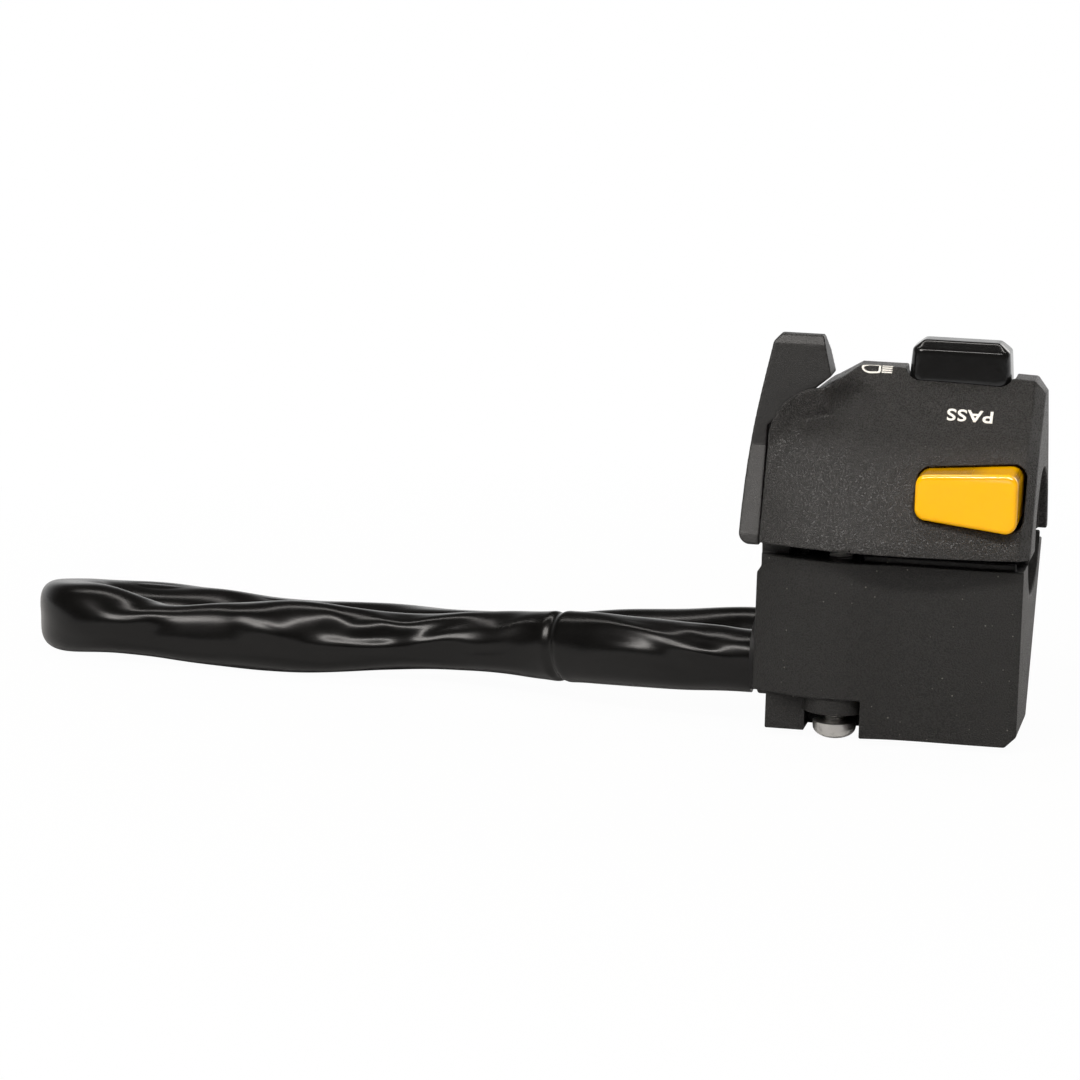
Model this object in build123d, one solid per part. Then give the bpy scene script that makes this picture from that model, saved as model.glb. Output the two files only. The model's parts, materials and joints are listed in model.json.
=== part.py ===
from build123d import *
import os
from math import cos, hypot, pi, radians, sin, tan

# Left-hand handlebar switch cluster of a motorcycle, in two moulded halves.
# X runs along the handlebar toward the grip, -Y is the front, +Y the rider's side and +Z up.
# The origin is on the handlebar's axis, in the middle of the clamping length.

# Handlebar and clamp
bar_radius = 11.1
tunnel_wall = 1.8
parting_gap = 0.5

# Walls and clearances
wall = 2.2
overrun = 20.0
slide_gap = 0.35
running_gap = 0.06
free_gap = 0.5
seat_gap = 0.15

# Lower housing
lower_half_length = 26.0
lower_top = -4.5
lower_height = 34.5
lower_front = -20.5
lower_bulge = 1.6
lower_left_setback = 4.2
lower_rear = 18.1
slope_end_y = -0.6
slope_end_z = -36.8
foot_chamfer = 2.2
tongue_height = 1.2
tongue_thickness = 1.2
tongue_start_x = -5.0
LOWER_PLAN_SHARES = ((1.0, 0.0), (0.5, 0.0), (-0.02, 0.22), (-0.34, 1.0), (-0.66, 0.1))

# Notch at the lower left front, open round the front screw
notch_right_x = -4.3
notch_ceiling_z = -31.6
notch_panel_y = -17.4
notch_pocket_y = -10.6
notch_pocket_left_x = -15.5
notch_end_x = -23.2

# Upper housing
upper_left_x = -25.1
upper_end_x = 27.2
upper_bottom = -1.7
upper_height = 32.8
upper_depth = 41.3
upper_front = -24.0
band_height = 1.8
end_bevel = 2.1
end_recess_radius = 12.6
end_recess_depth = 1.6
UPPER_FRONT_SHARES = (
    (0.0, -0.05), (0.0, 0.045), (0.075, 0.235), (0.155, 0.445), (0.235, 0.62), (0.37, 0.80), (0.51, 1.0),
)
front_stations = 18
front_levels = 18
UPPER_REAR_SHARES = ((0.645, 1.0), (0.775, 0.70), (0.94, 0.27), (1.0, 0.06), (1.0, -0.05))

# Shoulder, rim and hollow beside the choke lever
shoulder_top_x = -8.6
shoulder_top_z = 31.4
rim_centre_x = -15.0
rim_centre_z = 17.4
rim_radius = 10.1
rim_thickness = 1.7
rim_face_y = -14.4
rim_lean = 0.155
rim_width = 2.3
rim_reach = 4.6
left_setback = 2.6
front_bulge = 3.0
front_margin = 4.0
shoulder_foot_x = -13.4

# Choke lever, turning on a ring round the handlebar
disc_left_x = -29.7
ring_outer_radius = 13.8
ring_inner_radius = 11.4
ring_length = 4.6
flange_radius = 15.2
flange_thickness = 1.2
lever_foot_z = -3.0
lever_front_y = -17.5
crease_y = -12.3
crease_z = 16.0
lever_top_z = 37.2
lever_tip_y = -9.4
lever_rear_y = -3.0
lever_tip_z = 34.0
lever_foot_corner = 2.6
lever_corner_share = 0.27
disc_rear_radius = 15.4
under_start_radius = 19.5
under_end_radius = 29.6
lever_draft = 9.0
LEVER_LEFT_SHARES = ((0.0, -0.02), (0.018, 0.2), (0.06, 0.438), (0.145, 0.685), (0.265, 0.96))
lever_top_corner = 1.4

# Pass trigger
trigger_left_x = 4.9
trigger_right_x = 24.6
trigger_low_left_z = 5.5
trigger_low_right_z = 3.5
trigger_top_left_z = 14.1
trigger_top_right_z = 15.4
trigger_corner = 2.2
trigger_edge = 0.9
trigger_face_left_y = -25.4
trigger_face_right_y = -26.7
trigger_back_low_y = -15.2
trigger_back_high_y = -11.4
trigger_side_gap = 0.85
trigger_pin_x = 6.9
trigger_pin_y = -13.9
trigger_pin_radius = 0.8
trigger_hub_radius = 1.9
trigger_pin_low_z = 1.2
trigger_pin_high_z = 16.9

# Dimmer rocker
dimmer_centre_x = 10.4
dimmer_half_length = 9.9
dimmer_half_depth = 5.0
dimmer_corner = 2.6
dimmer_top_z = 36.7
dimmer_bevel = 1.7
dimmer_draft = 4.0
dimmer_foot_z = 19.2
dimmer_gap = 0.7
dimmer_pivot_z = 24.0
dimmer_pin_radius = 1.0
dimmer_pin_front_y = -8.4
dimmer_pin_rear_y = 6.1
detent_radius = 1.5
detent_drop = 0.9
dimmer_web = 2.0

# Shelf over the handlebar tunnel and the contact blocks on it
shelf_z = 13.6
shelf_left_x = 2.2
shelf_right_x = 23.4
shelf_front_y = -9.8
shelf_rear_y = 4.8
contact_block_height = 3.4
dimmer_block_inset = 0.4
pass_block_depth = 4.2
pass_block_length = 8.0
pass_block_height = 5.4
blade_thickness = 0.5
blade_width = 5.0

# Case screws
screw_radius = 2.4
screw_hole_gap = 0.15
head_radius = 4.25
head_height = 3.6
head_proud = 1.4
head_edge = 1.9
drive_radius = 1.5
drive_depth = 1.6
front_screw_x = -9.8
front_screw_y = -15.3
front_screw_top = 7.5
front_boss_radius = 6.5
front_boss_end_z = -34.8
rear_screw_x = 19.0
rear_screw_y = 14.5
rear_screw_top = 6.0
rear_boss_radius = 4.4
rear_boss_length = 7.6
head_pocket_gap = 0.5

# Alignment peg between the halves
peg_x = -17.0
peg_y = -14.0
peg_radius = 0.9
peg_depth = 3.2
peg_boss_radius = 2.2

# Turn-signal slider on the sloping rider's face
turn_centre_x = -2.4
turn_along = 14.5
turn_travel = 3.5
turn_stem = 4.0
turn_knob_length = 9.5
turn_knob_width = 8.6
turn_knob_height = 4.6
turn_knob_edge = 1.0
turn_push = 1.0
turn_plate_length = 19.8
turn_plate_width = 8.4
turn_plate_thickness = 1.4
turn_block_length = 31.8
turn_post_radius = 1.0
turn_block_width = 7.0
turn_block_thickness = 1.5
turn_block_shift = 2.0
grip_rib_count = 3
grip_rib_width = 0.8

# Horn button below the slider
horn_x = -3.0
horn_radius = 5.6
horn_row_gap = 3.0
horn_along = turn_along + turn_knob_width / 2 + horn_row_gap + horn_radius
horn_proud = 3.6
horn_edge = 1.0
horn_travel = 2.5
horn_flange = 1.2
horn_flange_thickness = 1.2
horn_stem_radius = 1.9
horn_block_half_length = 10.6
horn_block_width = 9.0
horn_block_thickness = 2.4
horn_post_radius = 1.6
spring_wire = 0.5
spring_turns = 3
spring_sides = 6
spring_clear = 0.7

# Harness: grommet, sleeve, wire bundle and connector
sleeve_diameter = 12.0
exit_y = -5.7
exit_z = -27.0
grommet_flange_radius = 7.2
grommet_flange_thickness = 1.6
grommet_neck_radius = 6.2
grommet_nose_radius = 7.0
grommet_nose_length = 1.4
grommet_bore_radius = 4.4
floor_z = lower_top - lower_height - head_proud
bundle_diameter = 7.0
bundle_length = 7.0
connector_length = 22.0
connector_width = 17.0
connector_height = 12.0
connector_wall = 1.5
connector_mouth_depth = 9.0
connector_corner = 1.0
terminal_columns = 3
terminal_rows = 2
terminal_width = 1.8
terminal_thickness = 0.8
terminal_length = 4.4

# Route of the harness sleeve's centre line, from the grommet to its far end
sleeve_radius = sleeve_diameter / 2
sleeve_z = floor_z + sleeve_radius + 0.1 * sleeve_radius
sleeve_start_x = -(lower_half_length + grommet_nose_length)
SLEEVE_ROUTE = (
    (sleeve_start_x, exit_y, exit_z),
    (-43.0, exit_y, exit_z),
    (-59.0, -1.5, -29.6),
    (-76.0, 7.5, -32.6),
    (-95.0, 11.5, sleeve_z),
    (-118.0, 6.5, sleeve_z),
    (-146.0, 8.0, sleeve_z),
    (-168.0, 8.5, sleeve_z),
    (-175.3, 21.1, sleeve_z),
    (-168.0, 33.7, sleeve_z),
    (-147.0, 31.5, sleeve_z),
    (-122.0, 24.0, sleeve_z),
    (-96.0, 28.5, sleeve_z),
    (-70.0, 24.5, sleeve_z),
    (-52.0, 29.0, sleeve_z),
    (-34.5, 36.0, sleeve_z),
    (-18.5, 36.0, sleeve_z),
)
bend_share = 0.45


def prism_x(points, start, end):
    """Prism along X from a closed outline of (Y, Z) points."""
    face = make_face(Polyline(*points, close=True))
    return extrude(Plane.YZ.offset(start) * face, amount=end - start)


def prism_y(outline, front, rear):
    """Prism along Y from a closed outline in the XZ plane, given as a list of edges or points."""
    face = outline if isinstance(outline, Sketch) else make_face(Polyline(*outline, close=True))
    plane = Plane(origin=(0, rear, 0), x_dir=(1, 0, 0), z_dir=(0, -1, 0))
    return extrude(plane * face, amount=rear - front)


def block(x_range, y_range, z_range):
    """Box between two limits along each axis."""
    sizes = [high - low for low, high in (x_range, y_range, z_range)]
    corner = Pos(x_range[0], y_range[0], z_range[0])
    return corner * Box(*sizes, align=(Align.MIN, Align.MIN, Align.MIN))


def cylinder_x(radius, start, end):
    """Cylinder round the handlebar's axis."""
    return extrude(Plane.YZ.offset(start) * Circle(radius), amount=end - start)


def cylinder_z(x, y, radius, low, high):
    """Upright cylinder."""
    return extrude(Pos(x, y, low) * Circle(radius), amount=high - low)


def rider_plane(x=0.0, along=0.0, height=0.0):
    """Plane on the sloping rider's face: X along the bar, Y down the slope and Z out of the face."""
    run = Vector(0, slope_end_y - lower_rear, slope_end_z - lower_top).normalized()
    out = Vector(1, 0, 0).cross(run)
    origin = Vector(x, lower_rear, lower_top) + run * along + out * height
    return Plane(origin=origin, x_dir=(1, 0, 0), z_dir=out)


def smooth_step(value):
    """Rises smoothly from 0 to 1 as the value goes from 0 to 1."""
    value = min(max(value, 0.0), 1.0)
    return value * value * (3 - 2 * value)


def lower_body(inset=0.0):
    """Outer form of the lower housing, or the same form inset by a wall, open at the top."""
    over_top = lower_top + overrun
    bottom = lower_top - lower_height
    side = make_face(Polyline(
        (lower_front - overrun, over_top),
        (lower_front - overrun, bottom),
        (slope_end_y - foot_chamfer, bottom),
        (slope_end_y, slope_end_z),
        (lower_rear, lower_top),
        (lower_rear, over_top),
        close=True,
    ))
    end_x = lower_half_length - inset
    front = [
        (end_x * x, lower_front - lower_bulge * y + inset) for x, y in LOWER_PLAN_SHARES
    ]
    front.append((-end_x, lower_front + lower_left_setback + inset))
    rear_y = lower_rear + overrun
    plan = make_face(
        Spline(*front) + Polyline(front[-1], (-end_x, rear_y), (end_x, rear_y), front[0])
    )
    elevation = make_face(Polyline(
        (-lower_half_length, over_top),
        (-lower_half_length, bottom),
        (lower_half_length - foot_chamfer, bottom),
        (lower_half_length, bottom + foot_chamfer),
        (lower_half_length, over_top),
        close=True,
    ))
    if inset:
        side = offset(side, -inset)
        elevation = offset(elevation, -inset)
    body = extrude(Plane.YZ.offset(-lower_half_length) * side, amount=2 * lower_half_length)
    body &= extrude(Pos(0, 0, bottom) * plan, amount=lower_height + overrun)
    body &= prism_y(elevation, lower_front - overrun, lower_rear + overrun)
    return body


def saddle(low, high):
    """Half tunnel round the handlebar and, at the inboard end, round the lever's ring."""
    tunnel = cylinder_x(bar_radius + tunnel_wall, -lower_half_length, lower_half_length)
    ring_end = -lower_half_length + ring_length + tunnel_wall
    tunnel += cylinder_x(flange_radius + running_gap + tunnel_wall, -lower_half_length, ring_end)
    limits = (-lower_half_length, lower_half_length), (-overrun, overrun), (low, high)
    return tunnel & block(*limits)


def bar_bores():
    """Space taken from both halves by the handlebar and by the lever's ring with its flange."""
    ring_radius = ring_outer_radius + running_gap
    space = cylinder_x(bar_radius, -overrun - lower_half_length, overrun + lower_half_length)
    ring_end = upper_left_x - free_gap + ring_length + running_gap
    space += cylinder_x(ring_radius, -overrun - lower_half_length, ring_end)
    flange_start = ring_end - running_gap - flange_thickness
    space += cylinder_x(flange_radius + running_gap, flange_start - running_gap, ring_end)
    return space


def end_recess(end_x):
    """Shallow recess round the handlebar in the outboard end of a housing."""
    return cylinder_x(end_recess_radius, end_x - end_recess_depth, end_x + overrun)


def make_lower_housing():
    """Lower half with its saddle, screw bosses, notch and the openings for the rider's controls."""
    bottom = lower_top - lower_height
    outer = lower_body()
    shell = outer - lower_body(wall)
    inside = saddle(bottom, upper_bottom - free_gap)
    inside += cylinder_z(front_screw_x, front_screw_y, front_boss_radius, front_boss_end_z, lower_top)
    inside += cylinder_z(peg_x, peg_y, peg_boss_radius, lower_top - peg_depth - wall, lower_top)
    notch_panel = block(
        (notch_end_x, notch_right_x + wall),
        (notch_pocket_y, notch_pocket_y + wall),
        (bottom, notch_ceiling_z + wall),
    )
    notch_panel += block(
        (notch_end_x, notch_right_x + wall), (lower_front, notch_pocket_y + wall),
        (notch_ceiling_z, notch_ceiling_z + wall),
    )
    notch_panel += block(
        (notch_end_x, notch_pocket_left_x), (notch_panel_y, notch_pocket_y + wall),
        (bottom, notch_ceiling_z + wall),
    )
    notch_panel += block(
        (notch_right_x, notch_right_x + wall), (lower_front, notch_pocket_y + wall),
        (bottom, notch_ceiling_z + wall),
    )
    below_top = block(
        (-overrun - lower_half_length, overrun + lower_half_length),
        (lower_front - overrun, lower_rear + overrun),
        (bottom - overrun, lower_top),
    )
    shell &= below_top
    shell += (inside + notch_panel) & outer
    shell += cylinder_z(
        rear_screw_x, rear_screw_y, rear_boss_radius, lower_top - rear_boss_length, lower_top
    )
    shell += block(
        (tongue_start_x, lower_half_length - wall + free_gap),
        (lower_front + wall - tongue_thickness, lower_front + wall),
        (lower_top - wall, lower_top + tongue_height),
    )

    notch = block(
        (-overrun - lower_half_length, notch_right_x),
        (lower_front - overrun, notch_panel_y),
        (bottom - overrun, notch_ceiling_z),
    )
    notch += block(
        (notch_pocket_left_x, notch_right_x),
        (lower_front - overrun, notch_pocket_y),
        (bottom - overrun, notch_ceiling_z),
    )
    notch += block(
        (-overrun - lower_half_length, notch_end_x),
        (lower_front - overrun, lower_rear + overrun),
        (bottom - overrun, notch_ceiling_z),
    )
    notch -= cylinder_z(
        front_screw_x, front_screw_y, front_boss_radius, front_boss_end_z, notch_ceiling_z
    )
    exit_plane = Plane.YZ.offset(-lower_half_length - overrun) * Pos(exit_y, exit_z)
    notch -= extrude(exit_plane * Circle(grommet_flange_radius + free_gap), amount=2 * overrun)
    shell -= notch
    shell -= bar_bores()
    shell -= end_recess(lower_half_length)
    disc_reach = hypot(lever_front_y, lever_foot_z) + free_gap
    shell -= cylinder_x(disc_reach, -overrun - lower_half_length, upper_left_x)
    hole = screw_radius + screw_hole_gap
    shell -= cylinder_z(front_screw_x, front_screw_y, hole, bottom - overrun, overrun)
    shell -= cylinder_z(rear_screw_x, rear_screw_y, hole, bottom - overrun, overrun)
    shell -= cylinder_z(
        rear_screw_x, rear_screw_y, head_radius + head_pocket_gap,
        bottom - overrun, lower_top - rear_boss_length,
    )
    shell -= cylinder_z(peg_x, peg_y, peg_radius + seat_gap, lower_top - peg_depth, overrun)
    shell -= extrude(exit_plane * Circle(grommet_neck_radius + running_gap), amount=overrun + 2 * wall)
    flange_plane = Plane.YZ.offset(wall - lower_half_length) * Pos(exit_y, exit_z)
    shell -= extrude(
        flange_plane * Circle(grommet_flange_radius), amount=grommet_flange_thickness + seat_gap
    )

    slot = rider_plane(turn_centre_x, turn_along, -2 * wall)
    slot_length = turn_stem + 2 * (turn_travel + slide_gap)
    shell -= extrude(slot * SlotOverall(slot_length, turn_stem + 2 * slide_gap), amount=overrun)
    horn = rider_plane(horn_x, horn_along, -2 * wall)
    shell -= extrude(horn * Circle(horn_radius + slide_gap), amount=overrun)
    for side in (-1, 1):
        post = rider_plane(
            horn_x + side * (horn_block_half_length - horn_post_radius), horn_along, -horn_depth()
        )
        shell += extrude(post * Circle(horn_post_radius), amount=horn_depth() - wall / 2)
        block_end = turn_block_length / 2 - turn_post_radius
        post = rider_plane(
            turn_centre_x + side * block_end, turn_along + turn_block_shift, -turn_depth()
        )
        shell += extrude(post * Circle(turn_post_radius), amount=turn_depth() - wall / 2)
    return shell


def turn_depth():
    """Depth below the rider's face of the turn-signal block's outer side."""
    return wall + slide_gap + turn_plate_thickness + turn_push + free_gap


def horn_depth():
    """Depth below the rider's face of the horn block's outer side."""
    return wall + slide_gap + horn_flange_thickness + horn_travel + spring_room() + free_gap


def spring_room():
    """Height of the closed horn spring on its block."""
    return spring_turns * spring_wire * 2 + spring_wire


def upper_front_y(z):
    """Front of the upper housing at a height, by straight runs between the outline's points."""
    points = [
        (upper_front + upper_depth * y, upper_bottom + upper_height * s)
        for y, s in UPPER_FRONT_SHARES
    ]
    for (y0, z0), (y1, z1) in zip(points, points[1:]):
        if z <= z1:
            return y0 + (y1 - y0) * (z - z0) / (z1 - z0)
    (y0, z0), (y1, z1) = points[-2:]
    return y1 + (y1 - y0) * (z - z1) / (z1 - z0)


def rim_distance(x, z):
    """Distance inward from the edge that the housing turns to the choke lever."""
    if z < rim_centre_z:
        return x - rim_centre_x + rim_radius
    if x < rim_centre_x:
        return rim_radius - hypot(x - rim_centre_x, z - rim_centre_z)
    return rim_radius + rim_centre_z - z


def front_height(x, z):
    """Y of the moulded front: it bulges in the middle and rises to a rim round the lever."""
    softened = sum(upper_front_y(z + step * band_height / 2) for step in (-2, -1, 0, 1, 2)) / 5
    if x > 0:
        bulge = -front_bulge * (1 - (x / upper_end_x) ** 2)
    else:
        bulge = (front_bulge + left_setback) * (x / upper_left_x) ** 2 - front_bulge
    fade = 1 - smooth_step(z / shoulder_top_z) * (1 - 1 / front_margin)
    swept = softened + bulge * fade
    rim = rim_face_y + rim_lean * (z - crease_z)
    near = 1 - smooth_step((rim_distance(x, z) - rim_width) / rim_reach)
    near *= 1 - smooth_step((x - rim_centre_x) / (shoulder_top_x - rim_centre_x))
    near *= smooth_step((z - crease_z) / rim_width + 1)
    return swept + (min(rim, swept) - swept) * near


def moulded_front(shift=0.0):
    """Body behind the moulded front, lofted through upright sections, moved back by a shift."""
    low = upper_bottom - band_height
    high = upper_bottom + upper_height + band_height
    left = upper_left_x - wall
    right = upper_end_x + wall
    sections = []
    for station in range(front_stations + 1):
        x = left + (right - left) * station / front_stations
        line = []
        for level in range(front_levels + 1):
            z = low + (high - low) * level / front_levels
            line.append((front_height(x, z) + shift, z))
        rear_y = upper_depth
        edge = Spline(*line) + Polyline(line[-1], (rear_y, high), (rear_y, low), line[0])
        sections.append(Plane.YZ.offset(x) * make_face(edge))
    return loft(sections)


def upper_outline():
    """Side outline of the upper housing behind its moulded front: flat top and sloping rear."""
    front_y = upper_front - front_bulge - front_margin
    top = upper_bottom + upper_height
    rear = [
        (upper_front + upper_depth * y, upper_bottom + upper_height * z)
        for y, z in UPPER_REAR_SHARES
    ]
    low = rear[-1][1]
    return make_face(Polyline((front_y, low), (front_y, top), *rear, close=True))


def upper_elevation(inset=0.0):
    """Front outline of the upper housing: lever rim, sloping shoulder and bevelled outboard corner."""
    low = upper_bottom - overrun
    top_left = (shoulder_top_x, shoulder_top_z)
    top_right_z = upper_bottom + upper_height - end_bevel / 2
    rim_top = (rim_centre_x, rim_centre_z + rim_radius)
    rim_side = (rim_centre_x - rim_radius, rim_centre_z)
    turn = radians(45)
    rim_mid = (rim_centre_x - rim_radius * sin(turn), rim_centre_z + rim_radius * cos(turn))
    shoulder_foot = (rim_centre_x + rim_width / 2, rim_centre_z + rim_radius + rim_width / 4)
    line = Polyline((upper_left_x, low), (upper_left_x, upper_bottom), rim_side)
    line += ThreePointArc(rim_side, rim_mid, rim_top)
    line += Polyline(
        rim_top,
        shoulder_foot,
        top_left,
        (upper_end_x - end_bevel, top_right_z),
        (upper_end_x, top_right_z - end_bevel * 1.2),
        (upper_end_x, low),
        (upper_left_x, low),
    )
    face = make_face(line)
    return offset(face, -inset) if inset else face


def lever_pocket():
    """Round space that the lever's blade sweeps behind the rim."""
    start_x = disc_left_x - overrun
    slope = (under_end_radius - under_start_radius) / (shoulder_foot_x - upper_left_x)
    start_radius = under_start_radius - free_gap
    end_x = shoulder_foot_x + free_gap * 2
    end_radius = start_radius + slope * (end_x - upper_left_x)
    profile = make_face(Polyline(
        (start_x, start_radius),
        (upper_left_x, start_radius),
        (end_x, end_radius),
        (end_x, end_radius + overrun),
        (start_x, end_radius + overrun),
        close=True,
    ))
    swept = revolve(Plane.XY * profile, Axis.X)
    front_y = crease_y - free_gap
    lean = prism_x(
        (
            (front_y - rim_lean * overrun, crease_z - overrun),
            (front_y + rim_lean * 2 * overrun, crease_z + 2 * overrun),
            (3 * overrun, crease_z + 2 * overrun),
            (3 * overrun, crease_z - 3 * overrun),
            (front_y - rim_lean * overrun, crease_z - 3 * overrun),
        ),
        disc_left_x - overrun,
        end_x,
    )
    return swept & lean


def trigger_outline(gap=0.0, side_gap=0.0):
    """Front outline of the pass trigger, or of its opening when gaps are given."""
    points = (
        (trigger_left_x, trigger_low_left_z),
        (trigger_right_x, trigger_low_right_z),
        (trigger_right_x, trigger_top_right_z),
        (trigger_left_x, trigger_top_left_z),
    )
    face = make_face(Polyline(*points, close=True))
    face = fillet(face.vertices(), trigger_corner)
    if gap:
        face = offset(face, gap)
        shift = side_gap - gap
        face += Pos(shift, 0) * face
    return face


def make_upper_housing():
    """Upper half: moulded front, lever rim and pocket, openings, shelf, saddle and screw bosses."""
    top = upper_bottom + upper_height
    bottom_cut = block(
        (disc_left_x - overrun, upper_end_x + overrun),
        (upper_front - overrun, upper_depth),
        (upper_bottom - 2 * overrun, upper_bottom),
    )
    outer = extrude(
        Plane.YZ.offset(upper_left_x) * upper_outline(), amount=upper_end_x - upper_left_x
    )
    outer &= moulded_front()
    ends = outer.faces().sort_by(Axis.X)[-1]
    upper_edges = [edge for edge in ends.edges() if edge.center().Z > upper_bottom]
    outer = chamfer(upper_edges, end_bevel)
    outer &= prism_y(upper_elevation(), upper_front - overrun, upper_depth)
    hollow = moulded_front(wall)
    cavity = extrude(
        Plane.YZ.offset(shoulder_top_x) * offset(upper_outline(), -wall),
        amount=upper_end_x - wall - shoulder_top_x,
    )
    cavity &= prism_y(upper_elevation(wall), upper_front - overrun, upper_depth)
    cavity &= hollow
    cavity += block(
        (upper_left_x + wall, shoulder_top_x + wall),
        (lever_front_y + wall, rim_face_y + 3 * wall),
        (upper_bottom - overrun, crease_z - wall),
    ) & hollow
    cavity += block(
        (upper_left_x + wall, upper_end_x - wall),
        (lever_front_y + wall, lower_rear - 2 * wall),
        (upper_bottom - wall, parting_gap),
    ) & hollow
    inside = saddle(parting_gap, overrun)
    inside += block(
        (shelf_left_x, shelf_right_x), (shelf_front_y, shelf_rear_y), (bar_radius / 2, shelf_z)
    )
    inside += cylinder_z(
        front_screw_x, front_screw_y, front_boss_radius - wall, parting_gap, front_screw_top + wall
    )
    inside += cylinder_z(peg_x, peg_y, peg_boss_radius, parting_gap, crease_z / 2)
    hub_front = upper_front_y(trigger_pin_low_z)
    inside += block(
        (trigger_pin_x - trigger_hub_radius, trigger_pin_x + trigger_hub_radius),
        (hub_front, trigger_pin_y + trigger_hub_radius),
        (parting_gap, trigger_low_right_z - slide_gap),
    )
    inside += block(
        (trigger_pin_x - trigger_hub_radius, trigger_pin_x + trigger_hub_radius),
        (trigger_pin_y - trigger_hub_radius, trigger_pin_y + trigger_hub_radius),
        (trigger_top_left_z + slide_gap * 2, trigger_pin_high_z + wall),
    )
    shell = outer - cavity
    shell += inside & outer
    shell += cylinder_z(
        rear_screw_x, rear_screw_y, rear_boss_radius, upper_bottom, rear_screw_top + wall
    )
    shell -= bottom_cut
    shell -= lever_pocket()
    shell -= bar_bores()
    shell -= end_recess(upper_end_x)
    shell += cylinder_z(peg_x, peg_y, peg_radius, lower_top - peg_depth + free_gap, crease_z / 3)
    hole = screw_radius + screw_hole_gap
    for x, y, screw_top in (
        (front_screw_x, front_screw_y, front_screw_top),
        (rear_screw_x, rear_screw_y, rear_screw_top),
    ):
        shell -= cylinder_z(x, y, hole, upper_bottom - overrun, screw_top + free_gap)
    shell -= prism_y(
        trigger_outline(slide_gap, trigger_side_gap), upper_front - overrun, trigger_back_high_y + free_gap
    ) & prism_x(
        (
            (upper_front - overrun, upper_bottom),
            (trigger_back_low_y + 3 * free_gap, upper_bottom),
            (trigger_back_high_y + 5 * free_gap, top),
            (upper_front - overrun, top),
        ),
        0,
        upper_end_x,
    )
    shell -= extrude(
        Pos(dimmer_centre_x, 0, dimmer_foot_z)
        * RectangleRounded(
            2 * (dimmer_half_length + dimmer_gap),
            2 * (dimmer_half_depth + slide_gap),
            dimmer_corner + slide_gap,
        ),
        amount=overrun,
    )
    shell -= cylinder_z(
        trigger_pin_x, trigger_pin_y, trigger_pin_radius + running_gap,
        trigger_pin_low_z, trigger_pin_high_z,
    )
    pin_plane = Plane.XZ.offset(-dimmer_pin_rear_y) * Pos(dimmer_centre_x, dimmer_pivot_z)
    shell -= extrude(
        pin_plane * Circle(dimmer_pin_radius + running_gap),
        amount=dimmer_pin_rear_y - dimmer_pin_front_y,
    )
    return shell


def make_choke_lever():
    """Lever with its outer disc, leaning thumb blade and the ring that turns on the handlebar."""
    disc_right_x = upper_left_x - free_gap
    left = [
        (disc_left_x + (shoulder_foot_x - disc_left_x) * x, lever_top_z * z)
        for x, z in LEVER_LEFT_SHARES
    ]
    top_right_x = shoulder_foot_x - rim_width
    corner_middle = (
        disc_left_x + lever_foot_corner * lever_corner_share,
        lever_foot_z + (left[0][1] - lever_foot_z) * lever_corner_share,
    )
    outline = make_face(Spline(*left) + Polyline(
        left[-1],
        (left[-1][0] + lever_top_corner, lever_top_z),
        (top_right_x, lever_top_z),
        (shoulder_foot_x - rim_width / 6, under_end_radius),
        (disc_right_x, under_start_radius),
        (disc_right_x, lever_foot_z),
        (disc_left_x + lever_foot_corner, lever_foot_z),
    ) + ThreePointArc((disc_left_x + lever_foot_corner, lever_foot_z), corner_middle, left[0]))
    body = prism_y(outline, lever_front_y - overrun, disc_rear_radius + overrun)
    profile = make_face(
        Polyline(
            (lever_front_y, lever_foot_z),
            (lever_front_y, lever_foot_z / 4),
            (crease_y, crease_z),
            (lever_tip_y, lever_top_z - rim_thickness),
            (lever_tip_y + rim_thickness / 2, lever_top_z),
            (lever_tip_y + 2 * rim_thickness, lever_top_z),
            (lever_rear_y, lever_tip_z),
            (lever_rear_y + rim_thickness / 2, under_end_radius - wall),
            (disc_rear_radius * cos(radians(45)), disc_rear_radius * sin(radians(45)) + wall),
            (disc_rear_radius, lever_foot_z / 4),
            (disc_rear_radius, lever_foot_z),
            close=True,
        )
    )
    body &= extrude(
        Plane.YZ.offset(disc_left_x) * profile, amount=shoulder_foot_x + overrun - disc_left_x
    )
    ring_end = disc_right_x + ring_length
    slope = (under_end_radius - under_start_radius) / (shoulder_foot_x - upper_left_x)
    under = make_face(Polyline(
        (disc_right_x, 0),
        (disc_right_x, under_start_radius),
        (shoulder_foot_x + overrun, under_start_radius + slope * (shoulder_foot_x + overrun - disc_right_x)),
        (shoulder_foot_x + overrun, 0),
        close=True,
    ))
    body -= revolve(Plane.XY * under, Axis.X)
    draft = Plane(
        origin=(top_right_x + rim_width / 2, lever_tip_y, lever_top_z), x_dir=(0, 0, 1),
        z_dir=(cos(radians(lever_draft)), -sin(radians(lever_draft)), sin(radians(lever_draft))),
    )
    body -= extrude(draft * Rectangle(4 * overrun, 4 * overrun), amount=overrun)
    ring = cylinder_x(ring_outer_radius, disc_left_x, ring_end)
    ring += cylinder_x(flange_radius, ring_end - flange_thickness, ring_end)
    ring -= block(
        (disc_left_x, disc_right_x), (-overrun, overrun), (-overrun, lever_foot_z)
    )
    body += ring
    body -= cylinder_x(ring_inner_radius, disc_left_x - overrun, ring_end + overrun)
    return body


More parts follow.
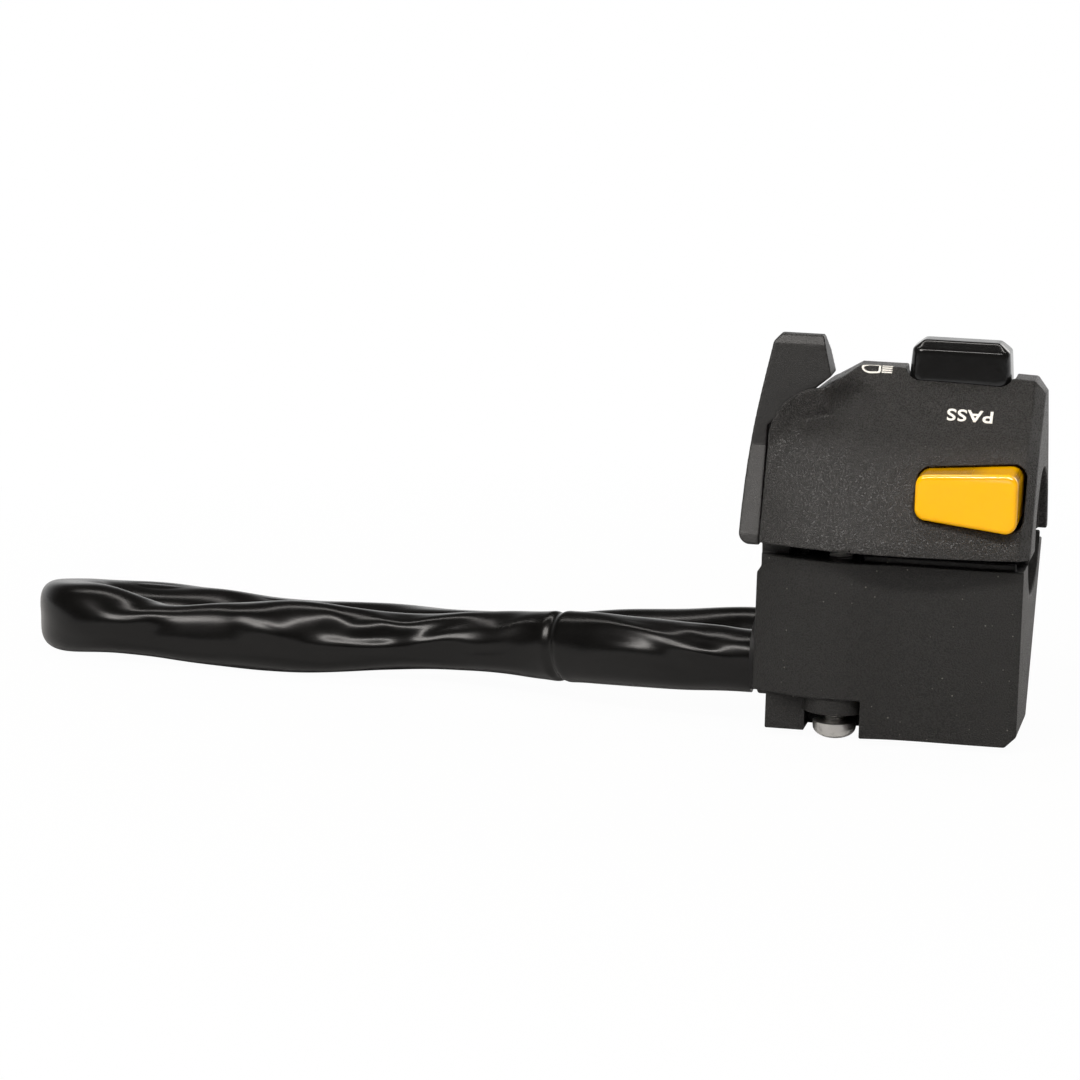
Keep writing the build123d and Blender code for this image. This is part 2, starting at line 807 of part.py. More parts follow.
def make_pass_trigger():
    """Press-in trigger with a crowned rounded face and a hub on its upright pin."""
    plan = make_face(Polyline(
        (trigger_left_x - wall, trigger_face_left_y),
        (trigger_right_x + wall, trigger_face_right_y),
        (trigger_right_x + wall, trigger_back_high_y),
        (trigger_left_x - wall, trigger_back_high_y),
        close=True,
    ))
    body = prism_y(trigger_outline(), trigger_face_right_y - wall, trigger_back_high_y)
    body &= extrude(Pos(0, 0, upper_bottom) * plan, amount=overrun)
    body &= prism_x(
        (
            (trigger_face_right_y - wall, upper_bottom),
            (trigger_back_low_y, upper_bottom),
            (trigger_back_high_y, trigger_pin_high_z),
            (trigger_face_right_y - wall, trigger_pin_high_z),
        ),
        0,
        upper_end_x,
    )
    front = body.faces().sort_by(Axis.Y)[0]
    body = fillet(front.edges(), trigger_edge)
    body += cylinder_z(
        trigger_pin_x, trigger_pin_y, trigger_hub_radius,
        trigger_low_left_z + slide_gap, trigger_top_left_z - slide_gap,
    )
    return body - cylinder_z(
        trigger_pin_x, trigger_pin_y, trigger_pin_radius + running_gap,
        upper_bottom, trigger_pin_high_z,
    )


def make_trigger_pin():
    """Steel pin of the pass trigger."""
    return cylinder_z(
        trigger_pin_x, trigger_pin_y, trigger_pin_radius, trigger_pin_low_z, trigger_pin_high_z
    )


def make_dimmer_rocker():
    """Tall rocker cap with a tapered, bevelled top and a web down to its pivot and detent."""
    base = RectangleRounded(2 * dimmer_half_length, 2 * dimmer_half_depth, dimmer_corner)
    taper_start = shoulder_top_z - wall
    cap = extrude(
        Pos(dimmer_centre_x, 0, taper_start) * base,
        amount=dimmer_top_z - taper_start,
        taper=dimmer_draft,
    )
    top_edges = cap.faces().sort_by(Axis.Z)[-1].edges()
    cap = chamfer(top_edges, dimmer_bevel, dimmer_bevel * 1.2)
    skirt = extrude(
        Pos(dimmer_centre_x, 0, dimmer_pivot_z - dimmer_web) * base,
        amount=taper_start - dimmer_pivot_z + dimmer_web,
    )
    web = block(
        (dimmer_centre_x - 2 * dimmer_web, dimmer_centre_x + 2 * dimmer_web),
        (-dimmer_half_depth + slide_gap, dimmer_half_depth - slide_gap),
        (dimmer_foot_z, dimmer_pivot_z),
    )
    body = cap + skirt + web
    body -= cylinder_z(
        dimmer_centre_x, 0, detent_radius + seat_gap,
        dimmer_foot_z - overrun, dimmer_foot_z + detent_radius * 2,
    )
    pin_plane = Plane.XZ.offset(-overrun) * Pos(dimmer_centre_x, dimmer_pivot_z)
    return body - extrude(pin_plane * Circle(dimmer_pin_radius + running_gap), amount=2 * overrun)


def make_dimmer_pin():
    """Pivot pin of the dimmer rocker."""
    plane = Plane.XZ.offset(-dimmer_pin_rear_y + seat_gap) * Pos(dimmer_centre_x, dimmer_pivot_z)
    length = dimmer_pin_rear_y - dimmer_pin_front_y - 2 * seat_gap
    return extrude(plane * Circle(dimmer_pin_radius), amount=length)


def make_dimmer_detent():
    """Ball that the rocker carries over the contact block."""
    centre_z = dimmer_foot_z + detent_radius - detent_drop
    return Pos(dimmer_centre_x, 0, centre_z) * Sphere(detent_radius)


def make_dimmer_contacts():
    """Contact block on the shelf, with the notch that the detent ball clears."""
    body = block(
        (shelf_left_x + dimmer_block_inset, shelf_right_x - dimmer_web * 2),
        (shelf_rear_y - 2 * dimmer_half_depth + dimmer_block_inset, shelf_rear_y - dimmer_block_inset),
        (shelf_z, shelf_z + contact_block_height),
    )
    groove = Plane.XZ.offset(-overrun) * Pos(dimmer_centre_x, shelf_z + contact_block_height)
    return body - extrude(groove * Circle(detent_radius / 2), amount=2 * overrun)


def make_pass_contacts():
    """Contact block behind the free end of the pass trigger."""
    right = shelf_right_x - dimmer_block_inset
    front = shelf_front_y + free_gap
    body = block(
        (right - pass_block_length, right),
        (front, front + pass_block_depth),
        (shelf_z, shelf_z + pass_block_height),
    )
    return body


def make_pass_spring():
    """Flat return blade that stands on the shelf behind the trigger."""
    right = shelf_right_x - dimmer_block_inset - pass_block_length - free_gap
    front = shelf_front_y + free_gap
    blade = block(
        (right - blade_width, right),
        (front, front + blade_thickness),
        (shelf_z, shelf_z + pass_block_height),
    )
    foot = block(
        (right - blade_width, right),
        (front, front + pass_block_depth),
        (shelf_z, shelf_z + blade_thickness),
    )
    return blade + foot


def make_case_screws():
    """Two pan-head screws from below: one beside the notch, one in the rider's face."""
    screws = []
    bottom = lower_top - lower_height
    places = (
        (front_screw_x, front_screw_y, bottom - head_proud + head_height, front_screw_top),
        (rear_screw_x, rear_screw_y, lower_top - rear_boss_length, rear_screw_top),
    )
    for x, y, seat_z, top_z in places:
        head = cylinder_z(x, y, head_radius, seat_z - head_height, seat_z)
        head = fillet(head.edges().sort_by(Axis.Z)[0], head_edge)
        shank = cylinder_z(x, y, screw_radius, seat_z - head_height / 2, top_z)
        drive = extrude(
            Pos(x, y, seat_z - head_height) * RegularPolygon(drive_radius, 6), amount=drive_depth
        )
        screws.append(head + shank - drive)
    return Compound(screws)


def make_turn_plate():
    """Sliding plate under the slot, which keeps dust out over the whole travel, with its stem."""
    plate = extrude(
        rider_plane(turn_centre_x, turn_along, -wall - slide_gap - turn_plate_thickness)
        * Rectangle(turn_plate_length, turn_plate_width),
        amount=turn_plate_thickness,
    )
    socket = extrude(
        rider_plane(turn_centre_x, turn_along, -wall - slide_gap - turn_plate_thickness)
        * Rectangle(turn_stem / 2 + 2 * running_gap, turn_stem / 2 + 2 * running_gap),
        amount=overrun,
    )
    return plate - socket


def make_turn_knob():
    """Slider knob: ribbed thumb piece on a stem that passes the slot and plugs the plate."""
    lift = turn_push + slide_gap
    pad = extrude(
        rider_plane(turn_centre_x, turn_along, lift) * RectangleRounded(
            turn_knob_length, turn_knob_width, turn_knob_edge * 2
        ),
        amount=turn_knob_height - turn_push,
    )
    pad = chamfer(pad.faces().sort_by(Axis.Y)[-1].edges(), turn_knob_edge / 2)
    for index in range(grip_rib_count):
        place = (index - (grip_rib_count - 1) / 2) * 3 * grip_rib_width
        groove = rider_plane(
            turn_centre_x + place, turn_along, lift + turn_knob_height - turn_push - grip_rib_width
        )
        pad -= extrude(groove * Rectangle(grip_rib_width, turn_knob_width * 2), amount=overrun)
    neck_low = -wall - slide_gap + turn_push + slide_gap
    stem = extrude(
        rider_plane(turn_centre_x, turn_along, neck_low) * Circle(turn_stem / 2),
        amount=lift - neck_low,
    )
    tail = extrude(
        rider_plane(turn_centre_x, turn_along, -wall - slide_gap - turn_plate_thickness)
        * Rectangle(turn_stem / 2, turn_stem / 2),
        amount=wall + lift,
    )
    return pad + stem + tail


def make_turn_contacts():
    """Turn-signal contact block on its two posts."""
    body = extrude(
        rider_plane(turn_centre_x, turn_along + turn_block_shift, -turn_depth() - turn_block_thickness)
        * Rectangle(turn_block_length, turn_block_width),
        amount=turn_block_thickness,
    )
    return body


def make_horn_button():
    """Round horn button with a domed edge, an inner flange and a stem."""
    cap = extrude(
        rider_plane(horn_x, horn_along, -wall - slide_gap) * Circle(horn_radius),
        amount=wall + slide_gap + horn_proud,
    )
    rim = cap.edges().filter_by(GeomType.CIRCLE).sort_by(Axis.Y)[-1]
    cap = fillet(rim, horn_edge)
    flange = extrude(
        rider_plane(horn_x, horn_along, -wall - slide_gap - horn_flange_thickness)
        * Circle(horn_radius + horn_flange),
        amount=horn_flange_thickness,
    )
    stem = extrude(
        rider_plane(horn_x, horn_along, -horn_depth() + horn_travel + free_gap)
        * Circle(horn_stem_radius),
        amount=horn_depth() - horn_travel - free_gap - wall,
    )
    return cap + flange + stem


def make_horn_contacts():
    """Horn contact block on its two posts."""
    return extrude(
        rider_plane(horn_x, horn_along, -horn_depth() - horn_block_thickness)
        * Rectangle(2 * horn_block_half_length, horn_block_width),
        amount=horn_block_thickness,
    )


def make_horn_spring():
    """Return spring of the horn button, drawn at its pressed length as stacked turns."""
    turns = []
    radius = horn_stem_radius + spring_clear + spring_wire
    base = rider_plane(horn_x, horn_along, -horn_depth() + spring_wire)
    helix = Helix(pitch=spring_wire * 2, height=spring_wire * 2 * spring_turns, radius=radius)
    path = base.location * helix
    start = Plane(origin=path @ 0, z_dir=path % 0)
    turns.append(sweep(start * RegularPolygon(spring_wire / 2, spring_sides), path=path))
    return Compound(turns)


def make_grommet():
    """Rubber grommet: inner flange, neck in the wall and outer nose that holds the sleeve."""
    place = Pos(exit_y, exit_z)
    nose = extrude(
        Plane.YZ.offset(-lower_half_length - grommet_nose_length) * place
        * Circle(grommet_nose_radius),
        amount=grommet_nose_length,
    )
    neck = extrude(
        Plane.YZ.offset(-lower_half_length) * place * Circle(grommet_neck_radius), amount=wall
    )
    flange = extrude(
        Plane.YZ.offset(-lower_half_length + wall) * place
        * Circle(grommet_flange_radius - seat_gap),
        amount=grommet_flange_thickness,
    )
    bore = extrude(
        Plane.YZ.offset(-lower_half_length - overrun) * place * Circle(grommet_bore_radius),
        amount=2 * overrun,
    )
    return nose + neck + flange - bore


def bend_radii(points):
    """Arc radius at each inner point of a route, as large as its two runs allow."""
    radii = []
    for before, here, after in zip(points, points[1:], points[2:]):
        first = Vector(*here) - Vector(*before)
        second = Vector(*after) - Vector(*here)
        turn = radians(first.get_angle(second))
        radii.append(bend_share * min(first.length, second.length) / tan(turn / 2))
    return radii


def make_sleeve():
    """Sleeve of the harness, swept along straight runs joined by tangent arcs."""
    radii = bend_radii(SLEEVE_ROUTE)
    path = FilletPolyline(*SLEEVE_ROUTE, radius=radii)
    start = Plane(origin=path @ 0, z_dir=path % 0)
    tube = sweep(start * Circle(sleeve_radius), path=path)
    print("sleeve radii", [round(radius, 1) for radius in radii])
    print("sleeve length", round(path.length, 1))
    print("sleeve volume", round(tube.volume), "of", round(pi * sleeve_radius**2 * path.length))
    return tube


def make_bundle():
    """Bare wire bundle between the sleeve's end and the connector."""
    end_x, end_y, end_z = SLEEVE_ROUTE[-1]
    place = Plane.YZ.offset(end_x) * Pos(end_y, end_z)
    return extrude(place * Circle(bundle_diameter / 2), amount=bundle_length)


def connector_start():
    """Point where the connector's wire side begins, resting on the same surface as the housing."""
    end_x, end_y, end_z = SLEEVE_ROUTE[-1]
    return end_x + bundle_length, end_y, floor_z + connector_height / 2


def make_connector():
    """Flat multi-way connector housing with an open mating mouth and a latch on top."""
    x, y, z = connector_start()
    half_width = connector_width / 2
    half_height = connector_height / 2
    body = block(
        (x, x + connector_length), (y - half_width, y + half_width), (z - half_height, z + half_height)
    )
    body = fillet(body.edges().filter_by(Axis.X), connector_corner)
    mouth = block(
        (x + connector_length - connector_mouth_depth, x + connector_length + overrun),
        (y - half_width + connector_wall, y + half_width - connector_wall),
        (z - half_height + connector_wall, z + half_height - connector_wall),
    )
    latch = block(
        (x + connector_mouth_depth / 2, x + connector_length - connector_mouth_depth / 2),
        (y - connector_wall * 2, y + connector_wall * 2),
        (z + half_height, z + half_height + connector_wall),
    )
    return body - mouth + latch


def make_terminals():
    """Flat pins that stand in the connector's mouth, in rows and columns."""
    x, y, z = connector_start()
    root_x = x + connector_length - connector_mouth_depth
    pins = []
    pitch_y = (connector_width - 2 * connector_wall) / terminal_columns
    pitch_z = (connector_height - 2 * connector_wall) / terminal_rows
    for column in range(terminal_columns):
        for row in range(terminal_rows):
            pin_y = y + (column - (terminal_columns - 1) / 2) * pitch_y
            pin_z = z + (row - (terminal_rows - 1) / 2) * pitch_z
            pins.append(block(
                (root_x, root_x + terminal_length),
                (pin_y - terminal_width / 2, pin_y + terminal_width / 2),
                (pin_z - terminal_thickness / 2, pin_z + terminal_thickness / 2),
            ))
    return Compound(pins)


pieces = {
    "lower_housing": make_lower_housing,
    "upper_housing": make_upper_housing,
    "case_screws": make_case_screws,
    "choke_lever": make_choke_lever,
    "pass_trigger": make_pass_trigger,
    "pass_trigger_pin": make_trigger_pin,
    "pass_contact_block": make_pass_contacts,
    "pass_return_blade": make_pass_spring,
    "dimmer_rocker": make_dimmer_rocker,
    "dimmer_pivot_pin": make_dimmer_pin,
    "dimmer_detent_ball": make_dimmer_detent,
    "dimmer_contact_block": make_dimmer_contacts,
    "turn_slide_plate": make_turn_plate,
    "turn_signal_knob": make_turn_knob,
    "turn_contact_block": make_turn_contacts,
    "horn_button": make_horn_button,
    "horn_contact_block": make_horn_contacts,
    "horn_return_spring": make_horn_spring,
    "harness_grommet": make_grommet,
    "harness_sleeve": make_sleeve,
    "harness_wire_bundle": make_bundle,
    "harness_connector": make_connector,
    "connector_terminals": make_terminals,
}

os.makedirs("parts", exist_ok=True)
for name, make in pieces.items():
    export_step(make(), f"parts/{name}.step")
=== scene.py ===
import json
from math import cos, radians, sin, tau

import bmesh
import bpy
import numpy as np
from mathutils import Matrix, Vector
from mathutils.bvhtree import BVHTree

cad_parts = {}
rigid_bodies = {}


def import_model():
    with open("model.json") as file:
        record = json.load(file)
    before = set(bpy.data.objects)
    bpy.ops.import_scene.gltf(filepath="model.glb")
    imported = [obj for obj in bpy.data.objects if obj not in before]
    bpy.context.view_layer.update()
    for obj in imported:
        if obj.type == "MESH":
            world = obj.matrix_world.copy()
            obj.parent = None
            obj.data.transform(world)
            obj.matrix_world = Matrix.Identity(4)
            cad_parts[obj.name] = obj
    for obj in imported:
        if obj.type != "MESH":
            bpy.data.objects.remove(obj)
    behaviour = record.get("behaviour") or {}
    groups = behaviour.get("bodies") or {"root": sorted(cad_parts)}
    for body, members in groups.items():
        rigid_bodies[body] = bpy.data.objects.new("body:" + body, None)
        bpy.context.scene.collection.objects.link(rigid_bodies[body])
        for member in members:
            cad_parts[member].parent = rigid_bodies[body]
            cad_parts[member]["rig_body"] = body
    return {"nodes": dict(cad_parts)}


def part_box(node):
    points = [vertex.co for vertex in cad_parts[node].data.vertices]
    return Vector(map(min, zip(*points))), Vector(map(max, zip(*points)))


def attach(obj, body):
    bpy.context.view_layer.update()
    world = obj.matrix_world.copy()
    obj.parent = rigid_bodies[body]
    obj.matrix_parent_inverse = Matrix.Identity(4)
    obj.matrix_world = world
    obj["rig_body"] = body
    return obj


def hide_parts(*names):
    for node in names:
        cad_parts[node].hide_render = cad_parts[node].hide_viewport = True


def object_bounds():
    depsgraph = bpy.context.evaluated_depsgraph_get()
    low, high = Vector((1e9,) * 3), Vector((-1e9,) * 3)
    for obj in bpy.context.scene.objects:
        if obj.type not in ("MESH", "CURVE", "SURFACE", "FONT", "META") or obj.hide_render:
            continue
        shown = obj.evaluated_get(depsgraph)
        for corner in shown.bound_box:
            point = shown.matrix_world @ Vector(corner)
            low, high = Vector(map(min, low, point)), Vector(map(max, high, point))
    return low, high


bl_info = {
    "name": "Handlebar Switch Cluster",
    "version": (1, 0, 0),
    "blender": (4, 5, 0),
    "location": "View3D > Sidebar > Switch Cluster",
    "description": "Dresses the packed switch cluster: mouldings, controls, screws, harness, print and stage",
    "category": "Object",
}

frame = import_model()
cad_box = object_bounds()

MM = 0.001
FLOOR_Z = cad_box[0][2]
WHITE = (1.0, 1.0, 1.0, 1.0)
DUST = (0.20, 0.19, 0.17, 1.0)

# Outputs of a Light Path node
CAMERA_RAY, GLOSSY_RAY, TRANSMISSION_RAY = 0, 3, 6

# Route of the harness sleeve from the grommet to its far end, in metres
SLEEVE_Z = FLOOR_Z + 0.0066
SLEEVE_ROUTE = (
    (-0.0274, -0.0057, -0.0270),
    (-0.0430, -0.0057, -0.0270),
    (-0.0590, -0.0015, -0.0296),
    (-0.0760, 0.0075, -0.0326),
    (-0.0950, 0.0115, SLEEVE_Z),
    (-0.1180, 0.0065, SLEEVE_Z),
    (-0.1460, 0.0080, SLEEVE_Z),
    (-0.1680, 0.0085, SLEEVE_Z),
    (-0.1753, 0.0211, SLEEVE_Z),
    (-0.1680, 0.0337, SLEEVE_Z),
    (-0.1470, 0.0315, SLEEVE_Z),
    (-0.1220, 0.0240, SLEEVE_Z),
    (-0.0960, 0.0285, SLEEVE_Z),
    (-0.0700, 0.0245, SLEEVE_Z),
    (-0.0520, 0.0290, SLEEVE_Z),
    (-0.0345, 0.0360, SLEEVE_Z),
    (-0.0185, 0.0360, SLEEVE_Z),
)


class Signal:
    """A socket or a number in shader maths; each operator adds the Math node that it names."""

    def __init__(self, nodes, socket):
        self.nodes = nodes
        self.socket = socket

    def _math(self, operation, *values, clamp=False):
        sockets = [value.socket if isinstance(value, Signal) else value for value in values]
        return self.nodes.add(
            "ShaderNodeMath", {"operation": operation, "use_clamp": clamp}, dict(enumerate(sockets))
        )[0]

    def __add__(self, other):
        return self._math("ADD", self, other)

    __radd__ = __add__

    def __sub__(self, other):
        return self._math("SUBTRACT", self, other)

    def __rsub__(self, other):
        return self._math("SUBTRACT", other, self)

    def __mul__(self, other):
        return self._math("MULTIPLY", self, other)

    __rmul__ = __mul__

    def between(self, low, high):
        """Rises from 0 to 1 as the value goes from low to high, held at both ends."""
        return self._math("MULTIPLY", self - low, 1.0 / (high - low), clamp=True)


class Nodes:
    """Builds nodes in one tree."""

    def __init__(self, owner):
        owner.use_nodes = True
        self.tree = owner.node_tree

    def add(self, kind, settings=None, inputs=None):
        """Adds a node, sets its properties and then its sockets, and returns its outputs."""
        node = self.tree.nodes.new(kind)
        for name, value in (settings or {}).items():
            setattr(node, name, value)
        for key, value in (inputs or {}).items():
            self.plug(node.inputs[key], value)
        return [Signal(self, output) for output in node.outputs]

    def plug(self, socket, value):
        """Links a signal to a socket, or sets the socket's own value."""
        value = value.socket if isinstance(value, Signal) else value
        if isinstance(value, bpy.types.NodeSocket):
            self.tree.links.new(value, socket)
        else:
            socket.default_value = value

    def position(self):
        """Object coordinates, in metres."""
        return self.add("ShaderNodeTexCoord")[3]

    def height(self):
        """Z of the object coordinates, in metres."""
        return self.add("ShaderNodeSeparateXYZ", {}, {0: self.position()})[2]

    def stretched(self, scale):
        """Object coordinates scaled along each axis."""
        return self.add("ShaderNodeMapping", {}, {"Vector": self.position(), "Scale": scale})[0]

    def noise(self, scale, detail=2.0, roughness=0.5, place=None):
        """Noise value, 0 to 1, at a number of features per metre."""
        inputs = {
            "Vector": place or self.position(), "Scale": scale, "Detail": detail, "Roughness": roughness,
        }
        return self.add("ShaderNodeTexNoise", {}, inputs)[0]

    def specks(self, scale, size, share):
        """Sparse round specks: 1 inside a chosen share of the cells of a Voronoi pattern, 0 outside."""
        outputs = self.add("ShaderNodeTexVoronoi", {}, {"Vector": self.position(), "Scale": scale})
        chance = self.add("ShaderNodeSeparateColor", {}, {0: outputs[1]})[0]
        spot = 1.0 - outputs[0].between(size * 0.5, size)
        return spot * chance.between(1.0 - share, 1.0 - share * 0.8 + 0.001)

    def blend(self, factor, first, second):
        """Colour between two colours, which are sockets 6 and 7 and output 2 of a Mix node."""
        return self.add("ShaderNodeMix", {"data_type": "RGBA"}, {0: factor, 6: first, 7: second})[2]

    def rays(self):
        """Light Path's signals: 1 on camera rays, and 1 on glossy or transmission rays."""
        path = self.add("ShaderNodeLightPath")
        return path[CAMERA_RAY], path[GLOSSY_RAY] + path[TRANSMISSION_RAY]

    def pale_over(self, kind, share, shader, output):
        """Lays plain white over a shader by a share, and plugs both into the output's surface."""
        white = self.add(kind, {}, {"Color": WHITE, "Strength": 1.0})[0]
        both = self.add("ShaderNodeMixShader", {}, {0: share, 1: shader, 2: white})[0]
        self.plug(self.tree.nodes[output].inputs["Surface"], both)


class Finish(Nodes):
    """One material's node tree."""

    def __init__(self, name, **constants):
        self.material = bpy.data.materials.new(name)
        super().__init__(self.material)
        self.shader = self.tree.nodes["Principled BSDF"]
        for socket, value in constants.items():
            self.shader.inputs[socket.replace("_", " ")].default_value = value

    def set(self, **links):
        """Feeds the shader's varying sockets."""
        for socket, value in links.items():
            self.plug(self.shader.inputs[socket.replace("_", " ")], value)

    def bump(self, height, distance):
        """Normal from a height signal, whose value 1 stands for a distance in metres."""
        self.set(Normal=self.add("ShaderNodeBump", {}, {"Distance": distance, "Height": height})[0])


def colour(value):
    """Four-part colour from a colour property."""
    return tuple(value) + (1.0,)


def shaded(base, share, lift=0.0):
    """Opaque colour at a share of a base colour, lifted by an amount and held at 1."""
    return tuple(min(1.0, part * share + lift) for part in base[:3]) + (1.0,)


def edge_rounding(finish):
    """Relief of the upper moulding's flared lower edge: 0.8 mm * (1 - rise / 4.2 mm) ** 2."""
    edge_z, flare_top, flare = -0.0017, 0.0025, 0.0008
    rest = 1.0 - finish.height().between(edge_z, flare_top)
    return rest * rest * flare


def skirt_slope(finish):
    """Relief of the lever's skirt, which stands out by 0.32 of the way below its crease."""
    crease_z, drop, slope = 0.0157, 0.0357, 0.32
    return (1.0 - finish.height().between(crease_z - drop, crease_z)) * drop * slope


def moulded_finish(name, base, grain_scale, grain_and_sparkle_share, grain_depth, roughness, speck_share, relief=None):
    """Textured moulding: a fine grain lightens the colour, partly as the moulding's own tone and partly as
    painted sparkle, and lifts the surface, with sparse dust.

    The grain has grain_scale features per metre, changes the colour by grain_and_sparkle_share and is
    grain_depth metres deep; dust lies in speck_share of its cells. A piece with a relief of its own is
    glossier.
    """
    finish = Finish(name, IOR=1.45 if relief else 1.36)
    coarse = finish.noise(grain_scale * 0.09, detail=3.0)
    grain = finish.noise(grain_scale, roughness=0.6).between(0.40, 0.64)
    # The lighter grain cells are the moulding's own grain tone, raised further as painted sparkle that stands
    # in for glints of light
    tone = finish.blend(grain, shaded(base, 1.0 - grain_and_sparkle_share), shaded(base, 1.0 + 1.6 * grain_and_sparkle_share))
    cloud = finish.blend(coarse.between(0.3, 0.75), shaded(base, 0.86), base)
    tone = finish.blend(0.3, tone, cloud)
    dust = finish.specks(520.0, size=0.10, share=speck_share)
    finish.set(
        Base_Color=finish.blend(dust * 0.55, tone, DUST),
        Roughness=roughness + coarse.between(0.3, 0.7) * 0.05 + grain * 0.05,
    )
    height = (grain + dust * 0.5) * grain_depth
    finish.bump(height + relief(finish) if relief else height, 1.0)
    return finish.material


def edge_gloss(finish, top):
    """Share of gloss on a cap's upper bevel: full from 1.1 to 0.5 mm under the top, none by 1.7 and 0.25."""
    rise = finish.height() - top
    return rise.between(-0.0017, -0.0011) * (1.0 - rise.between(-0.0005, -0.00025))


def gloss_finish(name, base, roughness, ripple, coat, edge=None):
    """Polished moulding: a ripple, in metres, fine scratches and a clear gloss, fuller along a top edge."""
    finish = Finish(name, IOR=1.33, Coat_Roughness=0.06, Coat_IOR=1.9 if edge else 1.5)
    ripples = finish.noise(260.0)
    along = finish.stretched((0.3, 1.0, 1.0))
    wear = finish.noise(1500.0, detail=3.0, roughness=0.7, place=along)
    finish.set(
        Base_Color=finish.blend(wear.between(0.3, 0.8), shaded(base, 0.97), base),
        Roughness=roughness + wear.between(0.5, 0.8) * 0.03,
        Coat_Weight=ripples.between(0.2, 0.6) * coat + (edge_gloss(finish, edge) if edge else 0.0),
    )
    finish.bump(ripples, ripple)
    return finish.material


def metal_finish(name, base, roughness, grain):
    """Plated metal: cloudy roughness, fine turning grain, in metres, and darker stains."""
    finish = Finish(name, Metallic=1.0)
    cloud = finish.noise(700.0, detail=4.0, roughness=0.6)
    fine = finish.noise(5200.0)
    stain = cloud.between(0.52, 0.72)
    finish.set(
        Base_Color=finish.blend(stain * 0.5, base, shaded(base, 0.45)),
        Roughness=roughness + cloud.between(0.3, 0.8) * 0.18,
    )
    finish.bump(fine, grain)
    return finish.material


def sleeve_finish(name, base):
    """Supple sleeving: deep black with a soft gloss, faint pores and a dusty bloom."""
    finish = Finish(name, IOR=1.38)
    cloud = finish.noise(120.0, detail=3.0)
    pores = finish.noise(4200.0)
    finish.set(
        Base_Color=finish.blend(cloud.between(0.35, 0.75), base, shaded(base, 1.6, 0.001)),
        Roughness=0.22 + cloud.between(0.3, 0.8) * 0.06,
    )
    finish.bump(pores, 0.000008)
    return finish.material


def print_finish(name, base):
    """Pad-printed ink: nearly white, slightly worn and matte."""
    finish = Finish(name, IOR=1.45)
    wear = finish.noise(2600.0, detail=3.0, roughness=0.7)
    finish.set(
        Base_Color=finish.blend(wear.between(0.55, 0.85), base, shaded(base, 0.78)),
        Roughness=0.5 + wear * 0.15,
    )
    finish.bump(wear, 0.00001)
    return finish.material


def held(values):
    """Values held between 0 and 1."""
    return np.clip(values, 0.0, 1.0)


def bell(values):
    """Bell curve: 1 at 0, falling on both sides as exp(-value ** 2)."""
    return np.exp(-(values ** 2))


def linked(name, data):
    """Object in the scene that holds a mesh, curve, lamp or camera."""
    holder = bpy.data.objects.new(name, data)
    bpy.context.scene.collection.objects.link(holder)
    return holder


def finish_piece(name, mesh, materials, body, smooth):
    """Shades a mesh, smooth up to an angle in degrees, links it as an object and puts it on its body."""
    mesh.update()
    mesh.shade_smooth()
    if smooth:
        mesh.set_sharp_from_angle(angle=radians(smooth))
    for material in materials:
        mesh.materials.append(material)
    piece = linked(name, mesh)
    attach(piece, body)
    return piece


def plain_mesh(name, points, faces):
    """Mesh from points in metres and faces."""
    mesh = bpy.data.meshes.new(name)
    mesh.from_pydata(np.asarray(points).tolist(), [], faces)
    return mesh


def new_piece(name, points, faces, materials, body, smooth):
    """Mesh object from points in metres and faces, riding on a body."""
    return finish_piece(name, plain_mesh(name, points, faces), materials, body, smooth)


def grid_faces(rows, columns):
    """Quads of a grid of points stored row by row, whose last column joins the first."""
    row, column = np.meshgrid(np.arange(rows - 1), np.arange(columns), indexing="ij")
    following = (column + 1) % columns
    corners = (
        row * columns + column, row * columns + following,
        (row + 1) * columns + following, (row + 1) * columns + column,
    )
    return np.stack([corner.ravel() for corner in corners], axis=1)


def body_of(node):
    """Name of the body that carries a node."""
    return frame["nodes"][node]["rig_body"]


def welded(mesh, gap):
    """Working copy of a mesh, with points nearer than a gap merged."""
    work = bmesh.new()
    work.from_mesh(mesh)
    bmesh.ops.remove_doubles(work, verts=work.verts, dist=gap)
    return work


def taken_apart(work):
    """Points and faces of a working mesh, which is then freed."""
    work.verts.index_update()
    points = np.array([vertex.co for vertex in work.verts])
    faces = [[vertex.index for vertex in face.verts] for face in work.faces]
    work.free()
    return points, faces


def triangulate_wide(work):
    """Cuts the faces of more than four corners into triangles."""
    wide = [face for face in work.faces if len(face.verts) > 4]
    bmesh.ops.triangulate(work, faces=wide, quad_method="BEAUTY", ngon_method="BEAUTY")


# Hollow in the front of the upper housing, in metres: its line in X and Z, its reach beside the line and
# how much further that goes downward, and its depth along a direction
HOLLOW_START, HOLLOW_RUN = np.array((-0.0195, 0.0240)), np.array((0.0110, 0.0026))
HOLLOW_REACH, HOLLOW_SAG = 0.0037, 0.0013
HOLLOW_DEPTH, HOLLOW_INWARD = 0.0015, np.array((0.0, 0.71, -0.70))

# The hollow takes faces that look forward by at least this share, fading in over the next, and that lie
# in front of this Y. Their edges are cut down to a cell's length where the face is near, and the longer a
# face is over the span, the farther off it counts as near, because it may reach in.
HOLLOW_FACING, HOLLOW_FADE, HOLLOW_FRONT_Y = 0.15, 0.2, -0.001
HOLLOW_CELL, HOLLOW_SPAN = 0.0007, 0.0035


def hollow_share(place):
    """Distance of places in X and Z from the line of the hollow under the lever rim, over its reach.

    The reach is 3.7 mm - 1.3 mm * sin(a), a the direction from the line: 2.4 mm upward, 5 mm downward.
    """
    offset = place - HOLLOW_START
    share = held(offset @ HOLLOW_RUN / (HOLLOW_RUN @ HOLLOW_RUN))
    away = offset - share[:, None] * HOLLOW_RUN
    distance = np.linalg.norm(away, axis=1)
    return distance / (HOLLOW_REACH - HOLLOW_SAG * away[:, 1] / np.maximum(distance, 1e-9))


